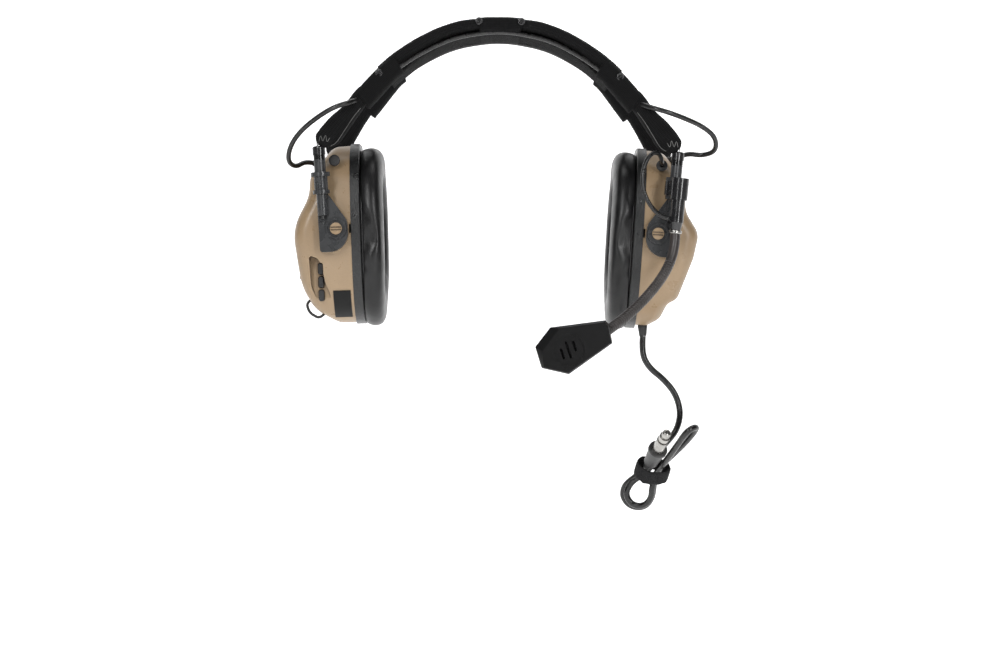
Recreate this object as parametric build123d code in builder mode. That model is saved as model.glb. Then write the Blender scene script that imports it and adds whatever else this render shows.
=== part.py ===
from build123d import *
from math import cos, pi, radians, sin, tan
import os

# Communication headset with a boom microphone, worn on a head.
# Millimetres. Origin midway between the two ear-cup pivots; +X towards the wearer's left ear,
# the wearer faces -Y, +Z up. Every piece of a side is drawn for the wearer's left and mirrored
# for the right. In a cup's own directions, "out" is away from the head, "up" is along the cup
# and "back" is towards the rear; all three are counted from the cup's pivot.

os.makedirs("parts", exist_ok=True)

# ---- driving dimensions -------------------------------------------------------------------

PIVOT_X = 93.8            # cup pivot from the head's centre plane
CUP_TILT = 2.75           # degrees, tops outward
ARM_TILT = 4.65           # degrees, tops outward
RUN = 0.06                # radial clearance of running fits

CUP_TOP = 50.8
CUP_HALF_WIDTH = 40.0
SEAM = -8.3               # joint between the shell and the back plate, along "out"
PLATE_FACE = -13.9        # head side of the back plate
CUSHION_FACE = -26.2      # head side of the ear cushion
WALL = 2.2
EDGE_R = 7.5              # rounding of the shell's outer edges
EAR_HALF_WIDTH = 20.0     # opening of the ear cushion
EAR_TOP = 31.0
EAR_BOTTOM = -34.0
PLATE_HOLE_R = 19.0       # speaker hole of the back plate
SPEAKER_AT = (0, 2.0)     # speaker axis (back, up)

TUBE_OUT = 7.0            # arm tube axis, outward of the pivot
TUBE_FORWARD = 46.0       # arm tube axis, forward of the pivot
CAP_FROM = 43.5
CAP_TOP = 48.5
PIN_R = 3.45              # cup pivot pin
PIN_FACE = 47.2
WIRE_R = 1.2              # band wire
WIRE_END = 6.0            # lower end of the wire in the arm's tube
BORE_END = 3.0            # closed end of the tube's bore

CABLE_R = 1.45            # crossover cable
LEAD_R = 1.85             # radio lead
MIC_LEAD_R = 1.25
ARC_SHARE = 0.45          # part of the shorter run that an arc takes

BARREL_OUT = 9.2          # boom barrel axis
BARREL_FORWARD = 57.0
CLIP_FROM = 22.9
CLIP_TO = 30.7
COLLAR_R = 4.0            # fluted collar that the boom clip turns on
GOOSENECK_R = 2.8
BALL_GAP = 0.06

PLUG_SHAFT_R = 3.55
PLUG_SHAFT_LENGTH = 12.0

SOCKET_AT = (0.3, 40.4)   # microphone socket seen from the front (out, up)
SOCKET_BACK = 26.0         # bottom of the socket, forward of the pivot
SOCKET_FACE = 35.6
SOCKET_R = 2.4
SCREW_PLACES = [(-16.5, 27.0), (16.5, 27.0), (-16.5, -30.0), (16.5, -30.0)]
SCREW_R = 1.2
SCREW_HEAD_R = 2.2
SCREW_HEAD_DEEP = 1.6
GLAND_LENGTH = 5.5            # cable gland, from the shell to its tip
BARREL_NECK = 2.4         # lower end of the barrel, above the pivot
FERRULE_FROM = 0.4

# ---- frames -------------------------------------------------------------------------------


def across(tilt):
    """Plane across a cup or arm: local x runs back, local y up, the normal out."""
    out = (cos(radians(tilt)), 0, -sin(radians(tilt)))
    return Plane(origin=(PIVOT_X, 0, 0), x_dir=(0, 1, 0), z_dir=out)


def facing(tilt):
    """Plane through a cup or arm seen from the front: local x out, local y up, normal forward."""
    out = (cos(radians(tilt)), 0, -sin(radians(tilt)))
    return Plane(origin=(PIVOT_X, 0, 0), x_dir=out, z_dir=(0, -1, 0))


CUP = across(CUP_TILT)
CUP_FRONT = facing(CUP_TILT)
ARM_FRONT = facing(ARM_TILT)
ARM_UP = (sin(radians(ARM_TILT)), 0, cos(radians(ARM_TILT)))


def cup_point(out, up, forward):
    """A point of the cup in the model's frame."""
    return CUP_FRONT.from_local_coords((out, up, forward))


def arm_level(height, out=TUBE_OUT, forward=TUBE_FORWARD):
    """Plane across an axis parallel to the arm's tube, at a height above the pivot."""
    centre = ARM_FRONT.from_local_coords((out, height, forward))
    return Plane(origin=centre, x_dir=(0, -1, 0), z_dir=ARM_UP)


def save(piece, name, right=False, rear=False):
    """Mirror a finished piece to the rear arm or the right side, label it and write it."""
    if rear:
        piece = mirrored(piece, Plane.XZ)
    if right:
        piece = mirrored(piece, Plane.YZ)
    piece.part.label = name
    export_step(piece.part, f"parts/{name}.step")


def mirrored(piece, plane):
    with BuildPart() as image:
        mirror(piece.part, about=plane)
    return image


def stack(steps, level):
    """Round steps (radius, from, to) one above another on the axis of the level planes."""
    with BuildPart() as column:
        for radius, start, end in steps:
            with BuildSketch(level(start)):
                Circle(radius)
            extrude(amount=end - start)
    return column.part


def box_between(plane, low, high):
    """A box in a plane's own directions between two corners."""
    with BuildPart() as block:
        with BuildSketch(plane.offset(low[2])):
            with Locations(((low[0] + high[0]) / 2, (low[1] + high[1]) / 2)):
                Rectangle(high[0] - low[0], high[1] - low[1])
        extrude(amount=high[2] - low[2])
    return block.part


def peg(plane, centre, radius, start, end):
    """A round peg square to a plane, between two distances from it."""
    with BuildPart() as block:
        with BuildSketch(plane.offset(start)):
            with Locations(centre):
                Circle(radius)
        extrude(amount=end - start)
    return block.part


# ---- cup shells ---------------------------------------------------------------------------

# Corners of the shell's side profile (out, up, fillet radius), clockwise from the top seam.
RIGHT_PROFILE = [
    (2, 49.5, 8), (15.5, 31, 10), (16.1, 20, 22), (26.3, 1, 30), (22.4, -32, 38),
    (15.5, -46.5, 20), (2, -54.5, 8),
]
LEFT_PROFILE = [
    (2, 49.5, 8), (15, 31, 12), (16.0, 14.5, 16), (24.7, 2, 11), (22.4, -12.5, 14),
    (14.7, -37.0, 7), (9.3, -40, 6), (6, -48.8, 8), (-1, -53.5, 6),
]
# Corners of the cup's outline seen from the ear (back, up, fillet radius).
OUTLINE = [
    (30, 51.6, 32), (CUP_HALF_WIDTH, 14, 95), (CUP_HALF_WIDTH, -14, 95), (29, -55.3, 35),
]


def rounded_face(corners, shrink=0.0):
    """A face with each corner rounded by the radius that it carries, or a smaller copy."""
    with BuildSketch() as face:
        with BuildLine():
            FilletPolyline(
                *[(x, y) for x, y, radius in corners],
                radius=[radius for x, y, radius in corners],
                close=True,
            )
        make_face()
        if shrink:
            offset(amount=-shrink, mode=Mode.REPLACE)
    return face.sketch


def outline_face(shrink=0.0):
    left = [(-x, y, radius) for x, y, radius in reversed(OUTLINE)]
    return rounded_face(OUTLINE + left, shrink)


def cup_body(profile, shrink=0.0, grow=0.0, seam=SEAM, edge_radius=0.0):
    """The solid inside the shell's outer surface, or a smaller or wider copy of it."""
    with BuildPart() as body:
        with BuildSketch(CUP_FRONT):
            behind = seam - 6
            add(rounded_face([(behind, CUP_TOP, 1)] + profile + [(behind, profile[-1][1], 1)], shrink))
        extrude(amount=CUP_HALF_WIDTH + 2, both=True)
        with BuildSketch(CUP.offset(seam)):
            add(outline_face(shrink - grow))
        extrude(amount=60, mode=Mode.INTERSECT)
        if edge_radius:
            rim = [e for e in body.edges() if CUP.to_local_coords(e.center()).Z > seam + 3]
            fillet(rim, edge_radius)
    return body


# ---- right cup's details ------------------------------------------------------------------

POCKET = [                # scooped keypad pocket seen from the front (out, up, fillet radius)
    (17.0, -14.5, 1.5), (11.5, -17, 5), (9.3, -22, 12), (8.0, -31, 12), (5.6, -37, 10), (5.0, -44, 6),
    (6.5, -48.5, 1.5), (13.0, -42, 8), (16.4, -33, 12),
]
POCKET_FLOOR = 31.0       # forward of the pivot
BUTTON_SIZE = (3.2, 6.6)
BUTTON_OUT = 10.6
BUTTON_UPS = (-22.8, -30.6, -38.4)
BUTTON_FACE = 33.6
BUTTON_BACK = 26.0
BUTTON_GAP = 0.2
DOOR_UP = (-29.0, 0.0)    # battery door aperture, along "up"
DOOR_BACK = (-17.0, 23.0)  # battery door aperture, towards the rear
DOOR_GAP = 0.25
HINGE_R = 1.5
HINGE_PIN_R = 0.75
HINGE_UP = DOOR_UP[0] + 2.0
HINGE_OUT = 23.1
KNUCKLE = (-10.0, 16.0)   # hinge barrel of the door, towards the rear
LUG = 3.7
CELL_R = 5.2
CELL_HALF = 22.2
CELL_PLACES = ((14.6, -7.6), (14.2, -19.4))
CONTACT_THICK = 0.5


def pocket(grow, floor):
    """The keypad's hollow, or the wider solid that keeps a wall round it."""
    with BuildPart() as hollow:
        with BuildSketch(CUP_FRONT.offset(floor)):
            add(rounded_face(POCKET, -grow))
        extrude(amount=30)
    return hollow.part


def hinge_axis(radius, start, end):
    """A round length of the door's hinge, between two distances towards the rear."""
    return peg(CUP_FRONT, (HINGE_OUT, HINGE_UP), radius, -end, -start)


def shell(profile, right):
    """Hollow moulding, open towards the head, with its pivot holes and seam notches."""
    with BuildPart() as cavity:
        add(cup_body(profile, shrink=WALL, seam=SEAM - 8, edge_radius=EDGE_R - WALL).part)
        if right:
            add(pocket(WALL, POCKET_FLOOR - WALL), mode=Mode.SUBTRACT)
    with BuildPart() as piece:
        add(cup_body(profile, edge_radius=EDGE_R).part)
        if right:
            add(pocket(0.0, POCKET_FLOOR), mode=Mode.SUBTRACT)
        add(cavity.part, mode=Mode.SUBTRACT)
        add(peg(CUP_FRONT, (0, 0), PIN_R, -50, 50), mode=Mode.SUBTRACT)
        # latch notch in the seam at the pivot's height, front and rear
        notch = box_between(CUP_FRONT, (SEAM - 1, -2.6, -60), (SEAM + 1.1, 2.6, 60))
        add(notch, mode=Mode.SUBTRACT)
    return piece


def gland_frame(base, axis):
    """Plane at a cable gland's base on the shell, its normal along the cable."""
    direction = CUP_FRONT.from_local_coords(axis) - CUP_FRONT.origin
    return Plane(origin=cup_point(base[0], base[1], base[2]), z_dir=direction)


def door_region(margin):
    low = (14.0, DOOR_UP[0] + margin, -DOOR_BACK[1] + margin)
    high = (40.0, DOOR_UP[1] - margin, -DOOR_BACK[0] - margin)
    return box_between(CUP_FRONT, low, high)


def battery_door():
    """Outer wall panel on a hinge at its lower edge."""
    with BuildPart() as piece:
        add(cup_body(RIGHT_PROFILE, edge_radius=EDGE_R).part)
        inside = cup_body(RIGHT_PROFILE, shrink=WALL, seam=SEAM - 8, edge_radius=EDGE_R - WALL)
        add(inside.part, mode=Mode.SUBTRACT)
        add(door_region(DOOR_GAP), mode=Mode.INTERSECT)
        # clear the hinge's corner, then carry the panel to the barrel
        low = (0, DOOR_UP[0] - 2, -DOOR_BACK[1])
        add(box_between(CUP_FRONT, low, (40, DOOR_UP[0] + 5.0, -DOOR_BACK[0])), mode=Mode.SUBTRACT)
        add(hinge_axis(HINGE_R, KNUCKLE[0], KNUCKLE[1]))
        strap_low = (HINGE_OUT - 0.5, HINGE_UP, -KNUCKLE[1])
        strap_high = (HINGE_OUT + 1.0, DOOR_UP[0] + 6.5, -KNUCKLE[0])
        add(box_between(CUP_FRONT, strap_low, strap_high))
        add(hinge_axis(HINGE_PIN_R, KNUCKLE[0] - 3.0, KNUCKLE[1] + 3.0))
        # finger lip at the upper edge
        lip_low = (23.6, DOOR_UP[1] - 5.0, -6)
        add(box_between(CUP_FRONT, lip_low, (26.2, DOOR_UP[1] - 3.4, 2)))
    return piece


def right_shell():
    blank = shell(RIGHT_PROFILE, right=True)
    with BuildPart() as piece:
        add(blank.part)
        add(door_region(0.0), mode=Mode.SUBTRACT)
        # lugs at both ends of the door's barrel, in the aperture's lower corners
        for start in (KNUCKLE[0] - LUG - 0.3, KNUCKLE[1] + 0.3):
            add(hinge_axis(HINGE_R, start, start + LUG))
            lug_low = (HINGE_OUT - 3.4, DOOR_UP[0] - 1.2, -start - LUG)
            add(box_between(CUP_FRONT, lug_low, (HINGE_OUT, HINGE_UP + 1.0, -start)))
        add(hinge_axis(HINGE_PIN_R + RUN, KNUCKLE[0] - 3.2, KNUCKLE[1] + 3.2), mode=Mode.SUBTRACT)
        # socket of the unused microphone lead
        add(peg(CUP_FRONT, SOCKET_AT, SOCKET_R, SOCKET_BACK, 60), mode=Mode.SUBTRACT)
        for up in BUTTON_UPS:
            with BuildSketch(CUP_FRONT.offset(BUTTON_BACK)):
                with Locations((BUTTON_OUT, up)):
                    RectangleRounded(BUTTON_SIZE[0] + 2 * BUTTON_GAP, BUTTON_SIZE[1] + 2 * BUTTON_GAP, 1.4)
            extrude(amount=20, mode=Mode.SUBTRACT)
    return piece


def left_shell():
    blank = shell(LEFT_PROFILE, right=False)
    with BuildPart() as piece:
        add(blank.part)
        add(peg(CUP_FRONT, SOCKET_AT, SOCKET_R, SOCKET_BACK, 60), mode=Mode.SUBTRACT)
        # outlet of the radio lead in the lower wall
        with BuildSketch(LEAD_OUTLET):
            Circle(LEAD_R + 1.0)
        extrude(amount=8, both=True, mode=Mode.SUBTRACT)
    return piece


def grommet():
    """Rubber ring in the microphone socket, with a bore for the lead's end."""
    with BuildPart() as piece:
        add(peg(CUP_FRONT, SOCKET_AT, SOCKET_R, SOCKET_BACK + 2, SOCKET_FACE))
        add(peg(CUP_FRONT, SOCKET_AT, SOCKET_R + 0.9, SOCKET_FACE, SOCKET_FACE + 1.3))
        fillet(piece.edges().group_by(Axis.Y)[0], 0.5)
        add(peg(CUP_FRONT, SOCKET_AT, MIC_LEAD_R, SOCKET_BACK + 4, 60), mode=Mode.SUBTRACT)
    return piece


def jack_cover():
    """Rubber plug that closes the right cup's socket, with a domed head and a nib."""
    nib = (SOCKET_AT[0] - 0.4, SOCKET_AT[1] - 1.2)
    with BuildPart() as piece:
        add(peg(CUP_FRONT, SOCKET_AT, SOCKET_R - RUN, SOCKET_BACK + 3, SOCKET_FACE))
        add(peg(CUP_FRONT, SOCKET_AT, 3.3, SOCKET_FACE, SOCKET_FACE + 1.8))
        fillet(piece.edges().group_by(Axis.Y)[0], 0.8)
        add(peg(CUP_FRONT, nib, 0.55, SOCKET_FACE + 1.7, SOCKET_FACE + 2.5))
    return piece


def back_plate():
    """Dark plate between the shell and the cushion, with a speaker hole and screw holes."""
    with BuildPart() as piece:
        with BuildSketch(CUP.offset(PLATE_FACE)):
            add(outline_face(-0.3))
        extrude(amount=SEAM - PLATE_FACE)
        chamfer(piece.faces().sort_by(Axis.X)[0].edges(), 0.5)
        add(peg(CUP, SPEAKER_AT, PLATE_HOLE_R, PLATE_FACE, SEAM), mode=Mode.SUBTRACT)
        with BuildSketch(CUP.offset(PLATE_FACE)):
            with Locations(*SCREW_PLACES):
                Circle(SCREW_R)
        extrude(amount=20, mode=Mode.SUBTRACT)
        with BuildSketch(CUP.offset(PLATE_FACE)):
            with Locations(*SCREW_PLACES):
                Circle(SCREW_HEAD_R)
        extrude(amount=SCREW_HEAD_DEEP, mode=Mode.SUBTRACT)
    return piece


def plate_screws():
    with BuildPart() as piece:
        for place in SCREW_PLACES:
            with BuildSketch(CUP.offset(PLATE_FACE)):
                with Locations(place):
                    Circle(SCREW_HEAD_R)
            extrude(amount=SCREW_HEAD_DEEP)
            with BuildSketch(CUP.offset(PLATE_FACE + SCREW_HEAD_DEEP)):
                with Locations(place):
                    Circle(SCREW_R)
            extrude(amount=6)
        with BuildSketch(CUP.offset(PLATE_FACE)):
            with Locations(*SCREW_PLACES):
                Rectangle(2.6, 0.6)
                Rectangle(0.6, 2.6)
        extrude(amount=0.9, mode=Mode.SUBTRACT)
    return piece


def cushion():
    """Padded ring round the ear."""
    with BuildPart() as piece:
        with BuildSketch(CUP.offset(CUSHION_FACE)):
            add(outline_face(2.0))
            add(ear_opening(0.0), mode=Mode.SUBTRACT)
        extrude(amount=PLATE_FACE - CUSHION_FACE)
        fillet(piece.faces().sort_by(Axis.X)[0].edges(), 4.5)
    return piece


def ear_opening(shrink):
    width = 2 * (EAR_HALF_WIDTH - shrink)
    height = EAR_TOP - EAR_BOTTOM - 2 * shrink
    with BuildSketch() as opening:
        with Locations((0, (EAR_TOP + EAR_BOTTOM) / 2)):
            RectangleRounded(width, height, EAR_HALF_WIDTH - 2 - shrink)
    return opening.sketch


def liner():
    """Thin foam over the speaker, at the bottom of the ear opening."""
    with BuildPart() as piece:
        with BuildSketch(CUP.offset(PLATE_FACE - 2.5)):
            add(ear_opening(0.5))
        extrude(amount=2.4)
    return piece


def speaker():
    """Driver behind the plate's hole: flange, basket, magnet and a domed diaphragm."""
    with BuildPart() as piece:
        add(peg(CUP, SPEAKER_AT, PLATE_HOLE_R + 3, SEAM + 0.1, SEAM + 1.7))
        with BuildSketch(CUP.offset(SEAM + 1.7)):
            with Locations(SPEAKER_AT):
                Circle(PLATE_HOLE_R)
        extrude(amount=2.4, taper=25)
        add(peg(CUP, SPEAKER_AT, 10.0, SEAM + 4.1, SEAM + 6.5))
        add(peg(CUP, SPEAKER_AT, PLATE_HOLE_R - 2.0, SEAM + 0.1, SEAM + 0.9), mode=Mode.SUBTRACT)
    return piece


def circuit_board(right):
    """Board with a processor, capacitors and a connector, between the speaker and the wall."""
    board_out = 0.6
    with BuildPart() as piece:
        with BuildSketch(CUP.offset(board_out)):
            RectangleRounded(44, 50, 4)
        extrude(amount=1.6)
        with BuildSketch(CUP.offset(board_out + 1.6)):
            with Locations((6, 12)):
                Rectangle(9, 9)
            with Locations((-10, -14)):
                Rectangle(6, 10)
        extrude(amount=1.4)
        with BuildSketch(CUP.offset(board_out + 1.6)):
            with Locations((-12, 8), (-12, 0), (14, -6)):
                Circle(2.4)
        extrude(amount=3.2 if right else 5.2)
        with BuildSketch(CUP.offset(board_out)):
            with GridLocations(36, 42, 2, 2):
                Circle(1.3)
        extrude(amount=1.6, mode=Mode.SUBTRACT)
    return piece


def pivot_pins():
    """Front and rear pins that the arms turn on, with two grooves across each end."""
    with BuildPart() as piece:
        add(stack([(5.0, 36.0, 37.7), (PIN_R, 37.7, PIN_FACE)], CUP_FRONT.offset))
        for low in (-1.15, 0.35):
            groove = box_between(CUP_FRONT, (-3.1, low, PIN_FACE - 0.8), (3.1, low + 0.8, PIN_FACE))
            add(groove, mode=Mode.SUBTRACT)
        mirror(about=Plane.XZ)
    return piece


def gland(base, axis):
    """Tapered rubber gland of the crossover cable, with its flange on the shell."""
    frame = gland_frame(base, axis)
    with BuildPart() as piece:
        with BuildSketch(frame):
            Circle(3.2)
        extrude(amount=1.2)
        with BuildSketch(frame.offset(1.2)):
            Circle(2.6)
        with BuildSketch(frame.offset(GLAND_LENGTH)):
            Circle(1.9)
        loft()
    return piece


def label_plate():
    """Thin plate that follows the shell's lower front wall beside the seam."""
    with BuildPart() as piece:
        add(cup_body(RIGHT_PROFILE, grow=0.35).part)
        add(box_between(CUP_FRONT, (-6.6, -51.5, 10), (3.6, -36.0, 60)), mode=Mode.INTERSECT)
        add(cup_body(RIGHT_PROFILE).part, mode=Mode.SUBTRACT)
    return piece


def batteries():
    with BuildPart() as piece:
        for place in CELL_PLACES:
            add(peg(CUP_FRONT, place, CELL_R, -CELL_HALF, CELL_HALF - 1.0))
            add(peg(CUP_FRONT, place, 1.9, CELL_HALF - 1.0, CELL_HALF))
    return piece


def battery_contacts():
    with BuildPart() as piece:
        for side in (-1, 1):
            start = side * (CELL_HALF + CONTACT_THICK / 2) - CONTACT_THICK / 2
            with BuildSketch(CUP_FRONT.offset(start)):
                for out, up in CELL_PLACES:
                    with Locations((out, up)):
                        RectangleRounded(8.6, 12.6, 1.5)
            extrude(amount=CONTACT_THICK)
    return piece


def button(up):
    """Rubber push button on the pocket's floor, with its stem inside."""
    with BuildPart() as piece:
        with BuildSketch(CUP_FRONT.offset(BUTTON_BACK + 1.6)):
            with Locations((BUTTON_OUT, up)):
                RectangleRounded(BUTTON_SIZE[0], BUTTON_SIZE[1], 1.3)
        extrude(amount=BUTTON_FACE - BUTTON_BACK - 1.6)
        fillet(piece.edges().group_by(Axis.Y)[0], 0.6)
    return piece


# ---- arms ---------------------------------------------------------------------------------

WEB = [                   # flat web of an arm seen from the front (out, up, fillet radius)
    (10.1, 21, 0.5), (10.1, -13.2, 1.5), (-6.9, -13.6, 11), (-6.6, 4.5, 8), (3.8, 21, 0.5),
]
ARM_TUBE = [              # tube, collar and its two rings (radius, from, to)
    (3.1, 8.0, 20.6), (5.0, 20.6, 22.8), (COLLAR_R, 22.8, 30.8), (5.6, 30.8, 33.2),
    (3.35, 33.2, CAP_FROM),
]
WEB_BACK = 41.3
WEB_FACE = 45.6
BOSS_BACK = 40.5
BOSS_FACE = 46.9
BOSS_R = 6.0


def arm():
    """One arm of a yoke: pivot boss, web, tube, fluted collar between two rings, and bores."""
    with BuildPart() as piece:
        with BuildSketch(ARM_FRONT.offset(WEB_BACK)):
            add(rounded_face(WEB))
        extrude(amount=WEB_FACE - WEB_BACK)
        add(peg(ARM_FRONT, (0, 0), BOSS_R, BOSS_BACK, BOSS_FACE))
        add(peg(ARM_FRONT, (0, 0), BOSS_R - 0.9, BOSS_FACE - 0.8, BOSS_FACE), mode=Mode.SUBTRACT)
        add(stack(ARM_TUBE, arm_level))
        with BuildSketch(arm_level(22.8)):
            with PolarLocations(COLLAR_R + 0.1, 14):
                Circle(0.45)
        extrude(amount=8.0, mode=Mode.SUBTRACT)
        recess = box_between(ARM_FRONT, (4.6, 4.2, WEB_FACE - 1.0), (9.4, 8.0, 60))
        add(recess, mode=Mode.SUBTRACT)
        add(stack([(WIRE_R + RUN, BORE_END, 60)], arm_level), mode=Mode.SUBTRACT)
        add(peg(ARM_FRONT, (0, 0), PIN_R + RUN, 0, 60), mode=Mode.SUBTRACT)
    return piece


def arm_caps():
    """Gloss caps on the tubes of the front and rear arm, bored for the band wires."""
    with BuildPart() as piece:
        add(stack([(3.75, CAP_FROM, CAP_TOP)], arm_level))
        fillet(piece.edges().sort_by(Axis.Z)[-1], 1.2)
        add(stack([(WIRE_R + RUN, CAP_FROM, CAP_TOP)], arm_level), mode=Mode.SUBTRACT)
        mirror(about=Plane.XZ)
    return piece


# ---- routes: straight runs joined by arcs -------------------------------------------------


def arc_radii(points):
    """The largest radius that each corner's two runs allow."""
    radii = []
    for before, corner, after in zip(points, points[1:], points[2:]):
        run_in = Vector(*corner) - Vector(*before)
        run_out = Vector(*after) - Vector(*corner)
        half_turn = radians(run_in.get_angle(run_out) / 2)
        radii.append(ARC_SHARE * min(run_in.length, run_out.length) / tan(half_turn))
    return radii


def tube(points, radius, radii=None, name=None):
    """A round tube along a route; a named one prints its length and radii."""
    radii = radii or arc_radii(points)
    with BuildPart() as piece:
        with BuildLine() as route:
            FilletPolyline(*points, radius=radii)
        path = route.wires()[0]
        with BuildSketch(Plane(path @ 0, z_dir=path % 0)):
            Circle(radius)
        sweep(path=path)
    if name:
        expected = pi * radius**2 * path.length
        print(f"{name}: length {path.length:.1f} mm, volume / expected {piece.part.volume / expected:.4f}")
        print("   radii", [round(value, 1) for value in radii])
    return piece


def over_head(half, crown=()):
    """A symmetrical route over the head from the wearer's left half of it."""
    return half + list(crown) + [(-x, y, z) for x, y, z in reversed(half)]


# ---- headband -----------------------------------------------------------------------------

WIRE_HALF = [             # front wire, from inside the left arm's tube towards the crown
    tuple(ARM_FRONT.from_local_coords((TUBE_OUT, WIRE_END, TUBE_FORWARD))),
    tuple(ARM_FRONT.from_local_coords((TUBE_OUT, 56.0, TUBE_FORWARD))),
    (86.5, -34.5, 73.0), (67.5, -28.5, 90.0), (49.0, -26.0, 104.0), (28.0, -25.0, 114.6),
]
WIRE_CROWN = (0.0, -25.0, 119.4)
WIRE_BEND_R = 12.0        # bend of the wire just above the arm's cap
COVER_HALF = [            # middle of the cover's thickness, from its end tab to the crown
    (74.0, 0.0, 90.0), (58.5, 0.0, 106.2), (38.0, 0.0, 118.6), (13.0, 0.0, 124.0),
]
COVER_THICK = 11.2
COVER_WIDTH = 58.0
SLEEVE = [                # front sleeve of the left side, from the cover to just above the cap
    (73.4, -24.5, 89.2), (87.5, -34.0, 76.0), (98.8, -42.5, 64.0), (104.0, -46.0, 51.5),
]
SLEEVE_SIZE = (17.0, 12.6)
CABLE_HALF = [            # crossover cable inside the cover, from the left sleeve to the crown
    (83.5, -29.0, 80.5), (70.0, -14.0, 94.5), (55.0, -4.0, 108.0), (36.0, 0.0, 118.8),
    (13.0, 0.0, 123.6),
]


def headband_wire():
    points = over_head(WIRE_HALF, [WIRE_CROWN])
    radii = arc_radii(points)
    radii[0] = WIRE_BEND_R
    radii[-1] = WIRE_BEND_R
    return tube(points, WIRE_R, radii)


def headband_cover():
    """Padded fabric over the crown, a flat section swept along the head's arc."""
    points = over_head(COVER_HALF)
    with BuildPart() as piece:
        with BuildLine() as route:
            FilletPolyline(*points, radius=arc_radii(points))
        path = route.wires()[0]
        with BuildSketch(Plane(path @ 0, x_dir=(0, 1, 0), z_dir=path % 0)):
            RectangleRounded(COVER_WIDTH, COVER_THICK, COVER_THICK / 2 - 0.4)
        sweep(path=path)
    return piece


def sleeve():
    """Fabric sleeve round the wire's lower end, lofted through upright oval sections."""
    ends = [Vector(*point) for point in SLEEVE]
    runs = [b - a for a, b in zip(ends, ends[1:])]
    directions = [runs[0], runs[0] + runs[1], runs[1] + runs[2], runs[2]]
    with BuildPart() as piece:
        for centre, direction in zip(ends, directions):
            side = Vector(0, 1, 0) - direction.normalized() * direction.normalized().Y
            with BuildSketch(Plane(centre, x_dir=side, z_dir=direction)):
                RectangleRounded(SLEEVE_SIZE[0], SLEEVE_SIZE[1], SLEEVE_SIZE[1] / 2 - 0.5)
        loft()
    return piece


# ---- boom ---------------------------------------------------------------------------------


def barrel_level(height):
    return arm_level(height, BARREL_OUT, BARREL_FORWARD)


def boom_clip():
    """Open clip round the fluted collar, with a glossy barrel in front of it."""
    with BuildPart() as piece:
        add(stack([(COLLAR_R + 1.9, CLIP_FROM, CLIP_TO)], arm_level))
        low = (TUBE_OUT - 3.6, CLIP_FROM, TUBE_FORWARD + 3.0)
        add(box_between(ARM_FRONT, low, (BARREL_OUT + 3.4, CLIP_TO, BARREL_FORWARD)))
        add(stack([(3.9, 7.0, 20.0), (5.0, 20.0, 32.6)], barrel_level))
        with BuildSketch(barrel_level(BARREL_NECK)):
            Circle(2.9)
        with BuildSketch(barrel_level(7.0)):
            Circle(3.6)
        loft()
        add(stack([(COLLAR_R + RUN, CLIP_FROM, CLIP_TO)], arm_level), mode=Mode.SUBTRACT)
        # mouth of the clip, towards the cup
        low = (TUBE_OUT - 3.2, CLIP_FROM, TUBE_FORWARD - 10)
        add(box_between(ARM_FRONT, low, (TUBE_OUT + 3.2, CLIP_TO, TUBE_FORWARD)), mode=Mode.SUBTRACT)
    return piece


GOOSENECK_ROUTE = [       # from the barrel's foot to the microphone
    tuple(ARM_FRONT.from_local_coords((BARREL_OUT, FERRULE_FROM, BARREL_FORWARD))),
    (102.9, -57.6, -8.0), (99.2, -61.2, -19.6), (92.2, -67.4, -30.4), (82.6, -76.0, -41.2),
    (71.6, -86.0, -51.0), (62.5, -94.3, -57.4),
]
BALL_CLEAR = 1.0          # bare length of each tube beside a bending point


def between(a, b, share):
    return tuple(Vector(*a) + (Vector(*b) - Vector(*a)) * share)


UPPER_BEND = between(GOOSENECK_ROUTE[1], GOOSENECK_ROUTE[2], 0.5)
LOWER_BEND = between(GOOSENECK_ROUTE[4], GOOSENECK_ROUTE[5], 0.5)


def towards(a, b, distance):
    step = Vector(*b) - Vector(*a)
    return tuple(Vector(*a) + step * (distance / step.length))


def gooseneck(points, ball_at_start, socket_at_end):
    """A length of gooseneck; a ball starts it and a hollow socket ends it at a bending point."""
    ends = list(points)
    if ball_at_start:
        ends[0] = towards(points[0], points[1], BALL_CLEAR)
    if socket_at_end:
        ends[-1] = towards(points[-1], points[-2], BALL_CLEAR)
    length = tube(ends, GOOSENECK_R)
    with BuildPart() as piece:
        add(length.part)
        if ball_at_start:
            with Locations(points[0]):
                Sphere(GOOSENECK_R)
        if socket_at_end:
            with Locations(points[-1]):
                Sphere(GOOSENECK_R + BALL_GAP, mode=Mode.SUBTRACT)
    return piece


def ferrule():
    """Bright ring where the gooseneck leaves the barrel."""
    with BuildPart() as piece:
        add(stack([(3.75, FERRULE_FROM, BARREL_NECK)], barrel_level))
        fillet(piece.edges().filter_by(GeomType.CIRCLE), 0.5)
    return piece


MIC_OUTLINE = [           # microphone housing seen from the front (x, z)
    (30.9, -55.7), (61.5, -51.2), (63.4, -53.2), (65.8, -64.0), (41.6, -81.8), (26.4, -78.6),
    (22.6, -66.8),
]
MIC_FACE = [              # its front face, cut back at the free end
    (36.0, -56.2), (61.2, -52.4), (62.9, -54.2), (65.0, -63.6), (41.2, -81.0), (27.4, -78.2),
    (26.8, -69.0),
]
MIC_EDGE = 3.4            # depth of the straight part of the housing's wall
MIC_SLOTS = [             # (aside, up, length) from the disc's centre
    (-3.3, -2.2, 6.4), (0.0, 0.0, 10.2), (3.4, 2.2, 6.2),
]
MIC_SPLIT = -97.4
MIC_PLANE = Plane(origin=(0, MIC_SPLIT, 0), x_dir=(1, 0, 0), z_dir=(0, -1, 0))
MIC_HALF_THICK = 6.6
MIC_CENTRE = (41.1, -68.2)
CAPSULE_R = 4.9


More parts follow.
